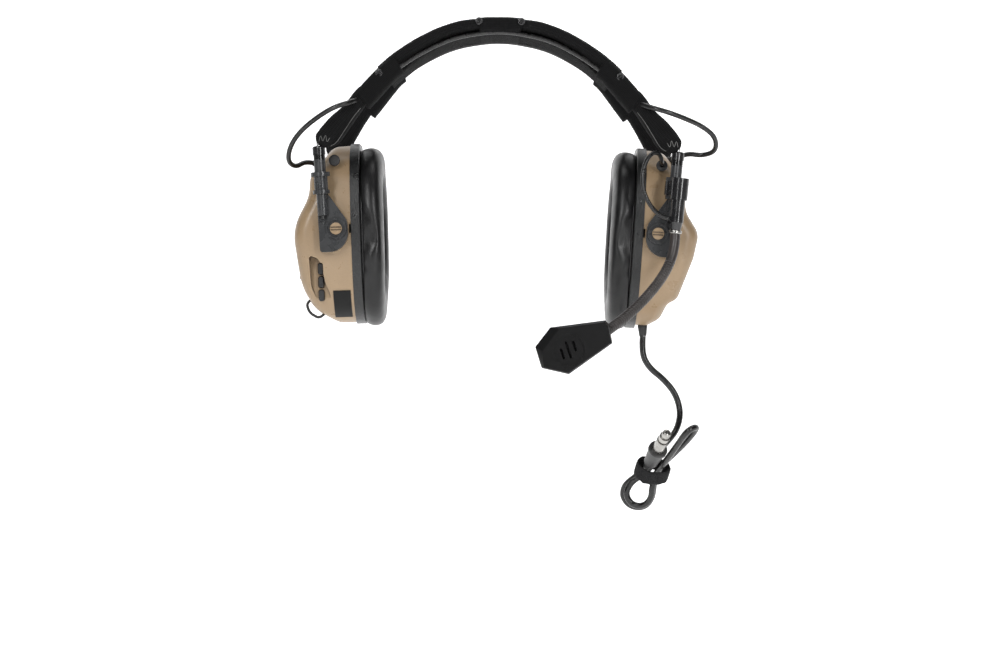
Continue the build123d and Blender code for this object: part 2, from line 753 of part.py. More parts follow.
def mic_half(front):
    """Half of the microphone housing, with the capsule's seat on its inner side."""
    start = 0.0 if front else -MIC_HALF_THICK
    with BuildPart() as piece:
        with BuildSketch(MIC_PLANE.offset(start)):
            add(rounded_face([(x, z, 1.0) for x, z in MIC_OUTLINE]))
        extrude(amount=MIC_EDGE if front else MIC_HALF_THICK)
        if front:
            with BuildSketch(MIC_PLANE.offset(MIC_EDGE)):
                add(rounded_face([(x, z, 1.0) for x, z in MIC_OUTLINE]))
            with BuildSketch(MIC_PLANE.offset(MIC_HALF_THICK)):
                add(rounded_face([(x, z, 0.8) for x, z in MIC_FACE]))
            loft()
        fillet(piece.edges().group_by(Axis.Y)[0 if front else -1], 0.5)
        if front:
            disc = peg(MIC_PLANE, MIC_CENTRE, 9.2, MIC_HALF_THICK - 1.0, MIC_HALF_THICK)
            add(disc, mode=Mode.SUBTRACT)
            with BuildSketch(MIC_PLANE):
                for aside, up, long in MIC_SLOTS:
                    with Locations((MIC_CENTRE[0] + aside, MIC_CENTRE[1] + up)):
                        SlotOverall(long, 1.5, rotation=-70)
            extrude(amount=MIC_HALF_THICK, mode=Mode.SUBTRACT)
            ring = peg(MIC_PLANE, MIC_CENTRE, 9.2, MIC_HALF_THICK - 1.0, MIC_HALF_THICK - 0.5)
            add(ring)
            dish = peg(MIC_PLANE, MIC_CENTRE, 8.5, MIC_HALF_THICK - 1.0, MIC_HALF_THICK)
            add(dish, mode=Mode.SUBTRACT)
        add(peg(MIC_PLANE, MIC_CENTRE, CAPSULE_R + 0.1, -2.2, 2.2), mode=Mode.SUBTRACT)
    return piece


def mic_capsule():
    with BuildPart() as piece:
        add(peg(MIC_PLANE, MIC_CENTRE, CAPSULE_R, -2.1, 2.1))
    return piece


# ---- leads --------------------------------------------------------------------------------

# Base and axis (out, up, forward) of the crossover cable's glands.
RIGHT_GLAND = ((9.4, 39.6, 12.0), (0.80, 0.18, 0.57))
LEFT_GLAND = ((5.6, 44.3, 14.0), (0.77, 0.45, 0.45))
LEAD_OUTLET = Plane(origin=cup_point(-3.6, -53.0, 8.0), z_dir=(0.05, 0, -1))
LEAD_EXIT = 7.0           # length of the radio lead's strain relief


def gland_tip(place):
    return tuple(gland_frame(*place).offset(GLAND_LENGTH).origin)


def gland_lead_in(place, distance):
    return tuple(gland_frame(*place).offset(GLAND_LENGTH + distance).origin)


LEFT_LOOP = [             # from inside the left sleeve, out in front of it, round to the gland
    (82.0, -36.0, 76.5), (87.0, -46.0, 73.8), (98.0, -48.0, 70.8), (109.0, -43.5, 67.4),
    (119.5, -37.0, 63.6), (127.6, -31.0, 58.0), (128.6, -25.5, 50.2), (121.0, -19.5, 47.6),
    gland_lead_in(LEFT_GLAND, 7.0), gland_tip(LEFT_GLAND),
]
RIGHT_LOOP = [            # the same on the other side, drawn for the left and mirrored
    (82.0, -36.0, 76.5), (87.0, -46.0, 73.6), (96.0, -48.0, 70.6), (106.5, -44.0, 64.4),
    (116.0, -39.0, 57.0), (122.4, -34.0, 48.4), (124.0, -29.0, 39.6), (119.6, -22.0, 36.8),
    gland_lead_in(RIGHT_GLAND, 6.0), gland_tip(RIGHT_GLAND),
]
MIC_LEAD_OFF = 4.3        # start of the microphone lead, from the barrel's axis
MIC_LEAD = [              # from the boom's barrel, round to the left cup's grommet
    tuple(barrel_level(9.0).origin - Vector(MIC_LEAD_OFF, 0, 0)), (93.6, -57.0, 9.6),
    (86.6, -56.0, 18.0), (83.6, -55.0, 27.5), (84.0, -53.5, 38.0), (88.5, -51.0, 46.6), (94.0, -46.5, 47.0),
    tuple(cup_point(SOCKET_AT[0], SOCKET_AT[1] + 0.4, 41.5)),
    tuple(cup_point(SOCKET_AT[0], SOCKET_AT[1], SOCKET_BACK + 4)),
]

BUNDLE_AXIS = Vector(0.33, -0.73, 0.60).normalized()   # hank and tie
PLUG_AXIS = Vector(0.18, -0.86, 0.475).normalized()    # the plug leans away from the hank
TIE_CENTRE = Vector(93.4, -31.0, -138.6)
TIE_INNER = (17.0, 14.0)
TIE_THICK = 1.6
TIE_WIDTH = 8.0
# Places in the tie's opening (aside, rise) of the loop's middle, the plug and the lead.
LOOP_AT = (4.5, 0.6)
PLUG_AT = (-2.6, 1.6)
LEAD_AT = (0.2, 5.2)
LOOP_SIZE = (11.4, 4.2)
LOOP_TURN = 47            # degrees, in the opening
LOOP_REACH = 46.0         # loop in front of the tie
LOOP_REAR = 6.0           # its strands behind the tie's middle
FOLD_FALL = Vector(-0.42, 0.42, -0.80)      # way the folds below the tie hang
FOLD_ASIDE = Vector(-0.80, 0.10, 0.59)
FOLD_MIDDLE = 12.5
FOLD_SIZE = (14.5, 11.5)
FOLD_THICK = 7.8
RELIEF_FROM = -5.0        # plug parts along the plug's axis from the tie's middle
RELIEF_LENGTH = 14.0
BODY_LENGTH = 17.0


def bundle_plane(along, rise=0.0, aside=0.0):
    """Plane across the tied bundle: local x points aside and local y up."""
    side = BUNDLE_AXIS.cross(Vector(0, 0, 1)).normalized() * -1
    up = BUNDLE_AXIS.cross(side)
    centre = TIE_CENTRE + BUNDLE_AXIS * along + up * rise + side * aside
    return Plane(origin=centre, x_dir=side, z_dir=BUNDLE_AXIS)


LEAD_THROUGH = bundle_plane(0, LEAD_AT[1], LEAD_AT[0]).origin
DOWNLEAD = [              # from the strain relief down through the tie
    tuple(LEAD_OUTLET.offset(LEAD_EXIT).origin), (87.4, -8.0, -70.0), (92.0, -9.0, -78.6),
    (100.4, -10.5, -85.0), (107.8, -12.0, -93.6), (111.0, -14.5, -104.6), (108.6, -19.5, -114.8),
    (102.8, -27.0, -121.4), (96.4, -32.0, -127.4), tuple(LEAD_THROUGH),
    tuple(LEAD_THROUGH - BUNDLE_AXIS * 7.0),
]


def cord_hank():
    """Outer shape of the folded lead: the narrow loop above the tie and the folds below it."""
    folds = Plane(
        origin=bundle_plane(-5.0, 1.5, 1.5).origin, x_dir=FOLD_FALL, z_dir=FOLD_FALL.cross(FOLD_ASIDE)
    )
    with BuildPart() as piece:
        with BuildSketch(bundle_plane(-LOOP_REAR)):
            with Locations(LOOP_AT):
                RectangleRounded(LOOP_SIZE[0], LOOP_SIZE[1], 2.0, rotation=LOOP_TURN)
        extrude(amount=LOOP_REAR + LOOP_REACH)
        with BuildSketch(folds.offset(-FOLD_THICK / 2)):
            with Locations((FOLD_MIDDLE, 0)):
                Ellipse(*FOLD_SIZE)
        extrude(amount=FOLD_THICK)
    return piece


def cord_tie():
    """Wide strap round the hank, the lead and the plug's strain relief."""
    outer = (TIE_INNER[0] + 2 * TIE_THICK, TIE_INNER[1] + 2 * TIE_THICK)
    with BuildPart() as piece:
        with BuildSketch(bundle_plane(-TIE_WIDTH / 2)):
            RectangleRounded(outer[0], outer[1], 6.0 + TIE_THICK)
            RectangleRounded(TIE_INNER[0], TIE_INNER[1], 6.0, mode=Mode.SUBTRACT)
        extrude(amount=TIE_WIDTH)
    return piece


def plug_level(along):
    start = bundle_plane(0, PLUG_AT[1], PLUG_AT[0]).origin
    return Plane(origin=start + PLUG_AXIS * (RELIEF_FROM + along), z_dir=PLUG_AXIS)


def plug_relief():
    """Ribbed strain relief, tapered towards the lead."""
    with BuildPart() as piece:
        with BuildSketch(plug_level(0)):
            Circle(2.3)
        with BuildSketch(plug_level(RELIEF_LENGTH)):
            Circle(3.6)
        loft()
        for step in range(5):
            with BuildSketch(plug_level(4.6 + 1.8 * step)):
                Circle(5.0)
                Circle(2.5, mode=Mode.SUBTRACT)
            extrude(amount=0.7, mode=Mode.SUBTRACT)
    return piece


def plug_body():
    """Moulded body in two widths, with a ring groove and a flat collar at the contact end."""
    wide = RELIEF_LENGTH + 6.0
    end = RELIEF_LENGTH + BODY_LENGTH
    with BuildPart() as piece:
        steps = [
            (4.3, RELIEF_LENGTH, wide), (3.9, wide, wide + 0.8), (4.7, wide + 0.8, end - 2.4),
            (5.6, end - 2.4, end),
        ]
        add(stack(steps, plug_level))
        fillet(piece.faces().sort_by(Axis.Y)[0].edges(), 0.6)
    return piece


def plug_shaft():
    """Nickel contact shaft in steps on a conical base, with a domed tip."""
    base = RELIEF_LENGTH + BODY_LENGTH
    nose = base + PLUG_SHAFT_LENGTH
    with BuildPart() as piece:
        steps = [
            (PLUG_SHAFT_R, base, nose), (2.7, nose, nose + 1.4), (3.2, nose + 1.4, nose + 5.0),
            (2.3, nose + 5.0, nose + 6.2), (2.6, nose + 6.2, nose + 9.6),
        ]
        add(stack(steps, plug_level))
        fillet(piece.faces().sort_by(Axis.Y)[0].edges(), 1.6)
    return piece


def downlead_relief():
    """Tapered strain relief of the radio lead under the left cup."""
    with BuildPart() as piece:
        with BuildSketch(LEAD_OUTLET.offset(-3)):
            Circle(LEAD_R + 1.0)
        extrude(amount=5.0)
        with BuildSketch(LEAD_OUTLET.offset(2.0)):
            Circle(LEAD_R + 0.9)
        with BuildSketch(LEAD_OUTLET.offset(LEAD_EXIT)):
            Circle(LEAD_R + 0.25)
        loft()
    return piece


def door_tether():
    """Small pull loop at the lower outer edge of the right cup."""
    points = [
        cup_point(17.2, -40.0, 17.0), cup_point(20.6, -42.8, 18.5), cup_point(19.0, -48.2, 19.5),
        cup_point(13.4, -51.8, 19.5), cup_point(9.6, -48.6, 18.0),
    ]
    return tube([tuple(point) for point in points], 0.8)


# ---- write every piece --------------------------------------------------------------------

save(headband_wire(), "headband_wire_front")
save(headband_wire(), "headband_wire_rear", rear=True)
save(headband_cover(), "headband_cover")
for right, side in ((False, "left"), (True, "right")):
    save(sleeve(), f"{side}_sleeve_front", right)
    save(sleeve(), f"{side}_sleeve_rear", right, rear=True)
save(tube(over_head(CABLE_HALF), CABLE_R), "crossover_cable")
save(tube(LEFT_LOOP, CABLE_R, name="left_loop_cable"), "left_loop_cable")
save(tube(RIGHT_LOOP, CABLE_R, name="right_loop_cable"), "right_loop_cable", right=True)

for right, side in ((False, "left"), (True, "right")):
    save(arm(), f"{side}_arm_front", right)
    save(arm(), f"{side}_arm_rear", right, rear=True)
    save(arm_caps(), f"{side}_arm_caps", right)
    save(back_plate(), f"{side}_back_plate", right)
    save(cushion(), f"{side}_cushion", right)
    save(liner(), f"{side}_liner", right)
    save(speaker(), f"{side}_speaker", right)
    save(circuit_board(right), f"{side}_circuit_board", right)
    save(pivot_pins(), f"{side}_pivot_pins", right)
    save(plate_screws(), f"{side}_plate_screws", right)
    save(gland(*(RIGHT_GLAND if right else LEFT_GLAND)), f"{side}_cable_gland", right)

save(left_shell(), "left_shell")
save(grommet(), "mic_grommet")
save(right_shell(), "right_shell", right=True)
save(battery_door(), "battery_door", right=True)
save(jack_cover(), "jack_cover", right=True)
save(label_plate(), "label_plate", right=True)
save(batteries(), "batteries", right=True)
save(battery_contacts(), "battery_contacts", right=True)
save(door_tether(), "door_tether", right=True)
for name, up in zip(("volume_up_button", "mode_button", "volume_down_button"), BUTTON_UPS):
    save(button(up), name, right=True)

save(boom_clip(), "boom_clip")
save(ferrule(), "boom_ferrule")
save(gooseneck(GOOSENECK_ROUTE[:2] + [UPPER_BEND], False, True), "gooseneck_base")
save(gooseneck([UPPER_BEND] + GOOSENECK_ROUTE[2:5] + [LOWER_BEND], True, True), "gooseneck_mid")
save(gooseneck([LOWER_BEND] + GOOSENECK_ROUTE[5:], True, False), "gooseneck_end")
save(mic_half(front=True), "mic_front_housing")
save(mic_half(front=False), "mic_rear_housing")
save(mic_capsule(), "mic_capsule")
save(tube(MIC_LEAD, MIC_LEAD_R, name="mic_lead"), "mic_lead")

save(downlead_relief(), "downlead_relief")
save(tube(DOWNLEAD, LEAD_R, name="downlead_cable"), "downlead_cable")
save(cord_hank(), "cord_hank")
save(cord_tie(), "cord_tie")
save(plug_relief(), "plug_relief")
save(plug_body(), "plug_body")
save(plug_shaft(), "plug_shaft")

print("upper bend", UPPER_BEND, "lower bend", LOWER_BEND)
print("plug shaft", plug_level(RELIEF_LENGTH + BODY_LENGTH + PLUG_SHAFT_LENGTH / 2).origin, PLUG_AXIS)
print("tube axis", ARM_FRONT.from_local_coords((TUBE_OUT, 0, TUBE_FORWARD)), ARM_UP)
print("hinge", cup_point(HINGE_OUT, HINGE_UP, 0))
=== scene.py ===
"""Looks of the communication headset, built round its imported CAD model. Metres, in the CAD frame."""

import math
import random

import bpy
from mathutils import Matrix, Vector, noise


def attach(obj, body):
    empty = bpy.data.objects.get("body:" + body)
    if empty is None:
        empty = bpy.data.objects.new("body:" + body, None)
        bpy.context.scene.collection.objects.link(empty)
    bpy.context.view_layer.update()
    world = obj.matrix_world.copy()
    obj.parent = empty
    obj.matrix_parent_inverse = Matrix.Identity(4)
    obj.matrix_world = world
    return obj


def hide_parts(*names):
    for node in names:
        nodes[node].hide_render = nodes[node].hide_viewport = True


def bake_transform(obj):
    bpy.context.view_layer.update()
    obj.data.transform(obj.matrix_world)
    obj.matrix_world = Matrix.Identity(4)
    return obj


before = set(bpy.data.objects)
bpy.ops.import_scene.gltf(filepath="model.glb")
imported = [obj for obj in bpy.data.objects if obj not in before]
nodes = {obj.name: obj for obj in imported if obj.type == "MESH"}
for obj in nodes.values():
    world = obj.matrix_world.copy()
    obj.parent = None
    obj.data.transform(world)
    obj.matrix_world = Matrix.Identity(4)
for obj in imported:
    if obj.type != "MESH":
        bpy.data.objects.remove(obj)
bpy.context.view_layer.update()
scene = bpy.context.scene
rng = random.Random(11)

MM = 0.001


def mm(x, y, z):
    return Vector((x, y, z)) * MM


def mms(points):
    return [mm(*point) for point in points]


def mirror_x(points):
    return [Vector((-p.x, p.y, p.z)) for p in points]


# ---- camera and backdrop ---------------------------------------------------------------------

ROLL = math.radians(0.92)
camera_data = bpy.data.cameras.new("camera")
camera_data.lens = 90.0
camera_data.sensor_width = 36.0
camera = bpy.data.objects.new("camera", camera_data)
scene.collection.objects.link(camera)
right = Vector((math.cos(ROLL), 0, math.sin(ROLL)))
up = Vector((-math.sin(ROLL), 0, math.cos(ROLL)))
camera.matrix_world = Matrix((
    (right.x, up.x, 0, 0.00237),
    (right.y, up.y, -1, -1.5),
    (right.z, up.z, 0, -0.0593),
    (0, 0, 0, 1),
))
scene.camera = camera
scene.view_settings.view_transform = "Standard"


# ---- mesh tools ------------------------------------------------------------------------------


def link(obj):
    scene.collection.objects.link(obj)
    return obj


def mesh_piece(name, verts, faces, smooth=True, uvs=None):
    mesh = bpy.data.meshes.new(name)
    mesh.from_pydata([tuple(v) for v in verts], [], faces)
    mesh.update()
    mesh.polygons.foreach_set("use_smooth", [smooth] * len(mesh.polygons))
    if uvs:
        layer = mesh.uv_layers.new(name="UVMap")
        for loop_index, uv in enumerate(uvs):
            layer.data[loop_index].uv = uv
    return link(bpy.data.objects.new(name, mesh))


def nurbs_curve(name, points):
    """A curve object of one open NURBS spline whose control points are the route's points."""
    curve = bpy.data.curves.new(name, "CURVE")
    curve.dimensions = "3D"
    curve.resolution_u = 24
    spline = curve.splines.new("NURBS")
    spline.points.add(len(points) - 1)
    for control, point in zip(spline.points, points):
        control.co = (*point, 1)
    spline.order_u = 3
    spline.use_endpoint_u = True
    return link(bpy.data.objects.new(name, curve))


def nurbs_line(points):
    """Points read along the smooth line of a route."""
    obj = nurbs_curve("line", points)
    mesh = bpy.data.meshes.new_from_object(obj)
    line = [v.co.copy() for v in mesh.vertices]
    bpy.data.objects.remove(obj)
    bpy.data.meshes.remove(mesh)
    return line


def spaced(line, step):
    """Points evenly spaced along a line, its two ends kept."""
    reach = [0.0]
    for a, b in zip(line, line[1:]):
        reach.append(reach[-1] + (b - a).length)
    count = max(2, round(reach[-1] / step) + 1)
    made, i = [], 0
    for k in range(count):
        at = reach[-1] * k / (count - 1)
        while i < len(line) - 2 and reach[i + 1] < at:
            i += 1
        span = reach[i + 1] - reach[i] or 1.0
        made.append(line[i].lerp(line[i + 1], min(1.0, (at - reach[i]) / span)))
    return made


def length_of(line):
    return sum((b - a).length for a, b in zip(line, line[1:]))


def frames_along(line, hint):
    """(point, tangent, side, up) along a line without twist; side starts as near hint as it can."""
    made, side = [], None
    for i, point in enumerate(line):
        tangent = (line[min(i + 1, len(line) - 1)] - line[max(i - 1, 0)]).normalized()
        base = hint if side is None else side
        side = (base - tangent * base.dot(tangent)).normalized()
        made.append((point, tangent, side, tangent.cross(side)))
    return made


def loft(name, rings, cap=True):
    """A closed solid through rings of points, with u, v along and round it in metres."""
    count = len(rings[0])
    verts = [p for ring in rings for p in ring]
    along = [0.0]
    for a, b in zip(rings, rings[1:]):
        along.append(along[-1] + sum((q - p).length for p, q in zip(a, b)) / count)
    middle = rings[len(rings) // 2]
    round_it = [0.0]
    for k in range(count):
        round_it.append(round_it[-1] + (middle[(k + 1) % count] - middle[k]).length)
    faces, uvs = [], []
    for i in range(len(rings) - 1):
        for k in range(count):
            n = (k + 1) % count
            faces.append((i * count + k, i * count + n, (i + 1) * count + n, (i + 1) * count + k))
            uvs += [
                (along[i], round_it[k]), (along[i], round_it[k + 1]),
                (along[i + 1], round_it[k + 1]), (along[i + 1], round_it[k]),
            ]
    if cap:
        for i, turn in ((0, True), (len(rings) - 1, False)):
            centre = len(verts)
            verts.append(sum(rings[i], Vector()) / count)
            for k in range(count):
                n = (k + 1) % count
                pair = (i * count + n, i * count + k) if turn else (i * count + k, i * count + n)
                faces.append((*pair, centre))
                uvs += [(along[i], round_it[k]), (along[i], round_it[k + 1]), (along[i], 0.0)]
    return mesh_piece(name, verts, faces, uvs=uvs)


def tube(name, line, radius, sides=20, hint=Vector((0, 1, 0.01)), domed=0):
    """A round tube; radius is a number or a function of the distance along it."""
    size = radius if callable(radius) else (lambda at: radius)
    rings, at = [], 0.0
    placed = frames_along(line, hint)
    for i, (point, tangent, side, upward) in enumerate(placed):
        if i:
            at += (line[i] - line[i - 1]).length
        r = size(at)
        rings.append([
            point + (side * math.cos(a) + upward * math.sin(a)) * r
            for a in (2 * math.pi * k / sides for k in range(sides))
        ])
    for end in range(domed):
        point, tangent, side, upward = placed[0 if end else -1]
        outward = -tangent if end else tangent
        r = size(0.0 if end else at)
        extra = []
        for step in range(1, 6):
            a = math.pi / 2 * step / 6
            centre = point + outward * r * math.sin(a)
            extra.append([
                centre + (side * math.cos(b) + upward * math.sin(b)) * r * math.cos(a)
                for b in (2 * math.pi * k / sides for k in range(sides))
            ])
        rings = list(reversed(extra)) + rings if end else rings + extra
    return loft(name, rings)


def oval(width, height, count=40, power=2.6):
    """Points of a rounded oval section, as (across, up) pairs."""
    made = []
    for k in range(count):
        a = 2 * math.pi * k / count
        c, s = math.cos(a), math.sin(a)
        made.append((
            math.copysign(abs(c) ** (2 / power), c) * width / 2,
            math.copysign(abs(s) ** (2 / power), s) * height / 2,
        ))
    return made


def smooth_through(points, step):
    """Evenly spaced points of a smooth line that passes through each of the points."""
    ends = [points[0] * 2 - points[1]] + list(points) + [points[-1] * 2 - points[-2]]
    line = []
    for p0, p1, p2, p3 in zip(ends, ends[1:], ends[2:], ends[3:]):
        for k in range(16):
            t = k / 16
            line.append(0.5 * (
                p1 * 2 + (p2 - p0) * t + (p0 * 2 - p1 * 5 + p2 * 4 - p3) * t * t
                + (p1 * 3 - p0 - p2 * 3 + p3) * t * t * t
            ))
    line.append(points[-1].copy())
    return spaced(line, step)


def finish_piece(obj, material, body=None, replaces=()):
    obj.data.materials.clear()
    obj.data.materials.append(material)
    if replaces:
        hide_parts(*replaces)
    if body:
        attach(obj, body)
    return obj


# ---- materials -------------------------------------------------------------------------------


class Nodes:
    """Short way to write a node material."""

    def __init__(self, name, material=None):
        self.material = material or bpy.data.materials.new(name)
        self.material.use_nodes = True
        self.tree = self.material.node_tree
        self.shader = self.tree.nodes["Principled BSDF"]
        self.place = self.tree.nodes.new("ShaderNodeTexCoord").outputs["Object"]

    def node(self, kind, inputs=None, **settings):
        made = self.tree.nodes.new(kind)
        for key, value in settings.items():
            setattr(made, key, value)
        for key, value in (inputs or {}).items():
            self.put(value, made.inputs[key])
        return made

    def put(self, value, socket):
        if isinstance(value, bpy.types.NodeSocket):
            self.tree.links.new(value, socket)
        else:
            socket.default_value = value

    def noise(self, scale, detail=3.0, rough=0.5, vector=None):
        made = self.node(
            "ShaderNodeTexNoise",
            {"Vector": vector or self.place, "Scale": scale, "Detail": detail, "Roughness": rough},
        )
        return made.outputs["Fac"]

    def cells(self, scale, feature="F1", output="Distance", vector=None):
        made = self.node(
            "ShaderNodeTexVoronoi", {"Vector": vector or self.place, "Scale": scale}, feature=feature
        )
        return made.outputs[output]

    def span(self, value, low, high, to_low=0.0, to_high=1.0):
        made = self.node("ShaderNodeMapRange", {
            "Value": value, "From Min": low, "From Max": high, "To Min": to_low, "To Max": to_high,
        })
        return made.outputs["Result"]

    def math(self, operation, a, b=0.0):
        made = self.node("ShaderNodeMath", operation=operation)
        self.put(a, made.inputs[0])
        self.put(b, made.inputs[1])
        return made.outputs[0]

    def mix(self, share, a, b):
        made = self.node("ShaderNodeMix", data_type="RGBA")
        self.put(share, made.inputs["Factor"])
        for value, key in ((a, "A"), (b, "B")):
            socket = [s for s in made.inputs if s.name == key and s.type == "RGBA"][0]
            self.put((*value, 1) if isinstance(value, tuple) else value, socket)
        return [s for s in made.outputs if s.type == "RGBA"][0]

    def bump(self, height, strength, distance, normal=None):
        inputs = {"Height": height, "Strength": strength, "Distance": distance}
        if normal is not None:
            inputs["Normal"] = normal
        return self.node("ShaderNodeBump", inputs).outputs["Normal"]

    def edges(self, radius, low=0.02, high=0.2):
        """1 on worn edges, 0 on flat faces."""
        bevel = self.node("ShaderNodeBevel", {"Radius": radius}, samples=4)
        geometry = self.node("ShaderNodeNewGeometry")
        dot = self.node("ShaderNodeVectorMath", operation="DOT_PRODUCT")
        self.put(bevel.outputs["Normal"], dot.inputs[0])
        self.put(geometry.outputs["Normal"], dot.inputs[1])
        turned = self.math("SUBTRACT", 1.0, dot.outputs["Value"])
        return self.span(turned, low, high)

    def surface(self, colour, roughness, normal=None, **others):
        self.put((*colour, 1) if isinstance(colour, tuple) else colour, self.shader.inputs["Base Color"])
        self.put(roughness, self.shader.inputs["Roughness"])
        if normal is not None:
            self.put(normal, self.shader.inputs["Normal"])
        for key, value in others.items():
            self.put(value, self.shader.inputs[key.replace("_", " ")])
        return self.material


def plastic(name, colour, shade, rough, grain, grain_depth, wear=0.35, lift=1.6, specular=0.5, fleck=0.3):
    """Moulded plastic: fine grain, slow colour drift, paler worn edges, and painted shade that darkens it in
    tight corners and hollows.
    """
    n = Nodes(name)
    drift = n.span(n.noise(38.0, 4.0), 0.35, 0.65)
    body = n.mix(drift, shade, colour)
    flecks = n.span(n.noise(900.0, 2.0), 0.4, 0.62, 0.0, fleck)
    body = n.mix(flecks, body, tuple(c * 0.8 for c in shade))
    # Painted shade: the colour goes towards near black where ambient occlusion finds the surface closed in, in
    # tight corners and hollows, as shade would fall there.
    painted_corner_shade = n.node("ShaderNodeAmbientOcclusion", {"Distance": 0.0016}, samples=6).outputs["AO"]
    body = n.mix(n.span(painted_corner_shade, 0.35, 0.8, 0.75, 0.0), body, (0.004, 0.004, 0.004))
    worn = n.math("MULTIPLY", n.edges(0.0006), n.span(n.noise(420.0, 3.0), 0.42, 0.6, 0.0, wear))
    body = n.mix(worn, body, tuple(min(1.0, c * lift) for c in colour))
    rough_map = n.span(n.noise(160.0, 4.0), 0.3, 0.7, rough - 0.06, rough + 0.08)
    fine = n.bump(n.noise(grain, 2.0), 0.55, grain_depth)
    wave = n.bump(n.noise(26.0, 2.0), 0.15, 0.0004, fine)
    return n.surface(body, rough_map, wave, Specular_IOR_Level=specular)


def tan_plastic():
    return plastic("tan_plastic", (0.295, 0.208, 0.124), (0.26, 0.182, 0.107), 0.32, 2600.0, 0.00003,
                   wear=0.3, lift=1.2, fleck=0.12)


def gloss_plastic():
    n = Nodes("gloss_plastic")
    smear = n.span(n.noise(120.0, 5.0, 0.7), 0.35, 0.7, 0.14, 0.3)
    body = n.mix(n.span(n.noise(900.0, 2.0), 0.5, 0.66), (0.008, 0.008, 0.009), (0.018, 0.018, 0.019))
    normal = n.bump(n.noise(60.0, 2.0), 0.3, 0.0002)
    return n.surface(body, smear, normal, Coat_Weight=0.35, Coat_Roughness=0.12)


def rubber(name, colour, rough=0.5, grain=1500.0, specular=0.5):
    n = Nodes(name)
    body = n.mix(n.span(n.noise(70.0, 4.0), 0.35, 0.65), colour, tuple(c * 1.7 + 0.004 for c in colour))
    dust = n.span(n.noise(2600.0, 2.0, 0.6), 0.6, 0.72, 0.0, 0.3)
    body = n.mix(dust, body, tuple(c * 2.6 + 0.02 for c in colour))
    normal = n.bump(n.noise(grain, 3.0), 0.5, 0.00004)
    rough_map = n.span(n.noise(220.0, 3.0), 0.3, 0.7, rough - 0.08, rough + 0.1)
    return n.surface(body, rough_map, normal, Specular_IOR_Level=specular)


def metal(name, colour, rough, scratch=0.5, stretch=(1.0, 1.0, 1.0)):
    n = Nodes(name)
    stretched = n.node("ShaderNodeVectorMath", operation="MULTIPLY")
    n.put(n.place, stretched.inputs[0])
    n.put(stretch, stretched.inputs[1])
    lines = n.noise(1400.0, 5.0, 0.65, stretched.outputs["Vector"])
    body = n.mix(n.span(n.noise(300.0, 3.0), 0.35, 0.7), colour, tuple(c * 0.72 for c in colour))
    normal = n.bump(lines, scratch, 0.00003)
    rough_map = n.span(lines, 0.3, 0.7, rough, rough + 0.16)
    return n.surface(body, rough_map, normal, Metallic=1.0)


def wire_metal():
    """Bright where the cups slide on it, black-jacketed along the band, and black at its tip, which is painted
    shade where it sits down in the arm's recess.
    """
    n = Nodes("wire_metal")
    height = n.node("ShaderNodeSeparateXYZ", {"Vector": n.place}).outputs["Z"]
    above = n.span(height, 0.0505, 0.0512)
    # The black above 50.5 mm high is the wire's jacket along the band; the black below 9.5 mm is painted shade,
    # turning the bright tip dark where it sits in the arm's recess.
    sheath_and_recess_shade = n.math("MAXIMUM", above, n.span(height, 0.0092, 0.0097, 1.0, 0.0))
    grain = n.noise(900.0, 3.0)
    bright = n.mix(n.span(grain, 0.4, 0.6), (0.72, 0.72, 0.72), (0.5, 0.5, 0.5))
    dark = n.mix(n.span(grain, 0.4, 0.6), (0.006, 0.006, 0.006), (0.02, 0.02, 0.02))
    body = n.mix(sheath_and_recess_shade, bright, dark)
    metallic = n.math("SUBTRACT", 1.0, sheath_and_recess_shade)
    rough_map = n.span(n.noise(200.0, 3.0), 0.3, 0.7, 0.22, 0.36)
    return n.surface(body, rough_map, n.bump(grain, 0.3, 0.00003), Metallic=metallic)


def knit(name, pitch=0.0011, colour=(0.003, 0.003, 0.0032), pale=(0.014, 0.014, 0.0145)):
    """Fine rib knit: ribs across the piece, stitches along each rib, loose fibres over both."""
    n = Nodes(name)
    place = n.node("ShaderNodeTexCoord").outputs["UV"]
    parts = n.node("ShaderNodeSeparateXYZ", {"Vector": place})
    wobble = n.span(n.noise(180.0, 2.0), 0.3, 0.7, -0.35, 0.35)
    turn = 2 * math.pi / pitch
    rib = n.math("SINE", n.math("ADD", n.math("MULTIPLY", parts.outputs["X"], turn), wobble))
    stitch_at = n.math("MULTIPLY", parts.outputs["Y"], turn * 0.8)
    stitch = n.math("SINE", n.math("ADD", stitch_at, n.math("MULTIPLY", rib, 0.8)))
    weave = n.math("ADD", n.math("MULTIPLY", rib, 0.6), n.math("MULTIPLY", stitch, 0.4))
    fuzz = n.noise(2400.0, 4.0, 0.7)
    height = n.math("ADD", n.math("MULTIPLY", weave, 0.5), n.math("MULTIPLY", fuzz, 1.2))
    share = n.span(n.math("ADD", n.math("MULTIPLY", weave, 0.35), fuzz), 0.1, 1.0)
    body = n.mix(share, colour, pale)
    lint = n.span(n.noise(1500.0, 3.0, 0.75), 0.68, 0.75, 0.0, 0.5)
    body = n.mix(lint, body, (0.05, 0.05, 0.05))
    normal = n.bump(height, 0.9, 0.00025)
    return n.surface(body, 0.9, normal, Sheen_Weight=0.015, Sheen_Roughness=0.5,
                     Specular_IOR_Level=0.08)


def leather():
    """Soft protein leather: pebbled grain, creases and a satin gloss."""
    n = Nodes("leather")
    pebble = n.cells(1500.0, "SMOOTH_F1")
    crease = n.noise(90.0, 5.0, 0.6)
    body = n.mix(n.span(crease, 0.35, 0.7), (0.004, 0.004, 0.0042), (0.009, 0.009, 0.0095))
    normal = n.bump(pebble, 0.35, 0.00012)
    normal = n.bump(crease, 0.4, 0.0005, normal)
    rough_map = n.span(n.noise(140.0, 4.0), 0.3, 0.7, 0.3, 0.42)
    return n.surface(body, rough_map, normal, Specular_IOR_Level=0.38)


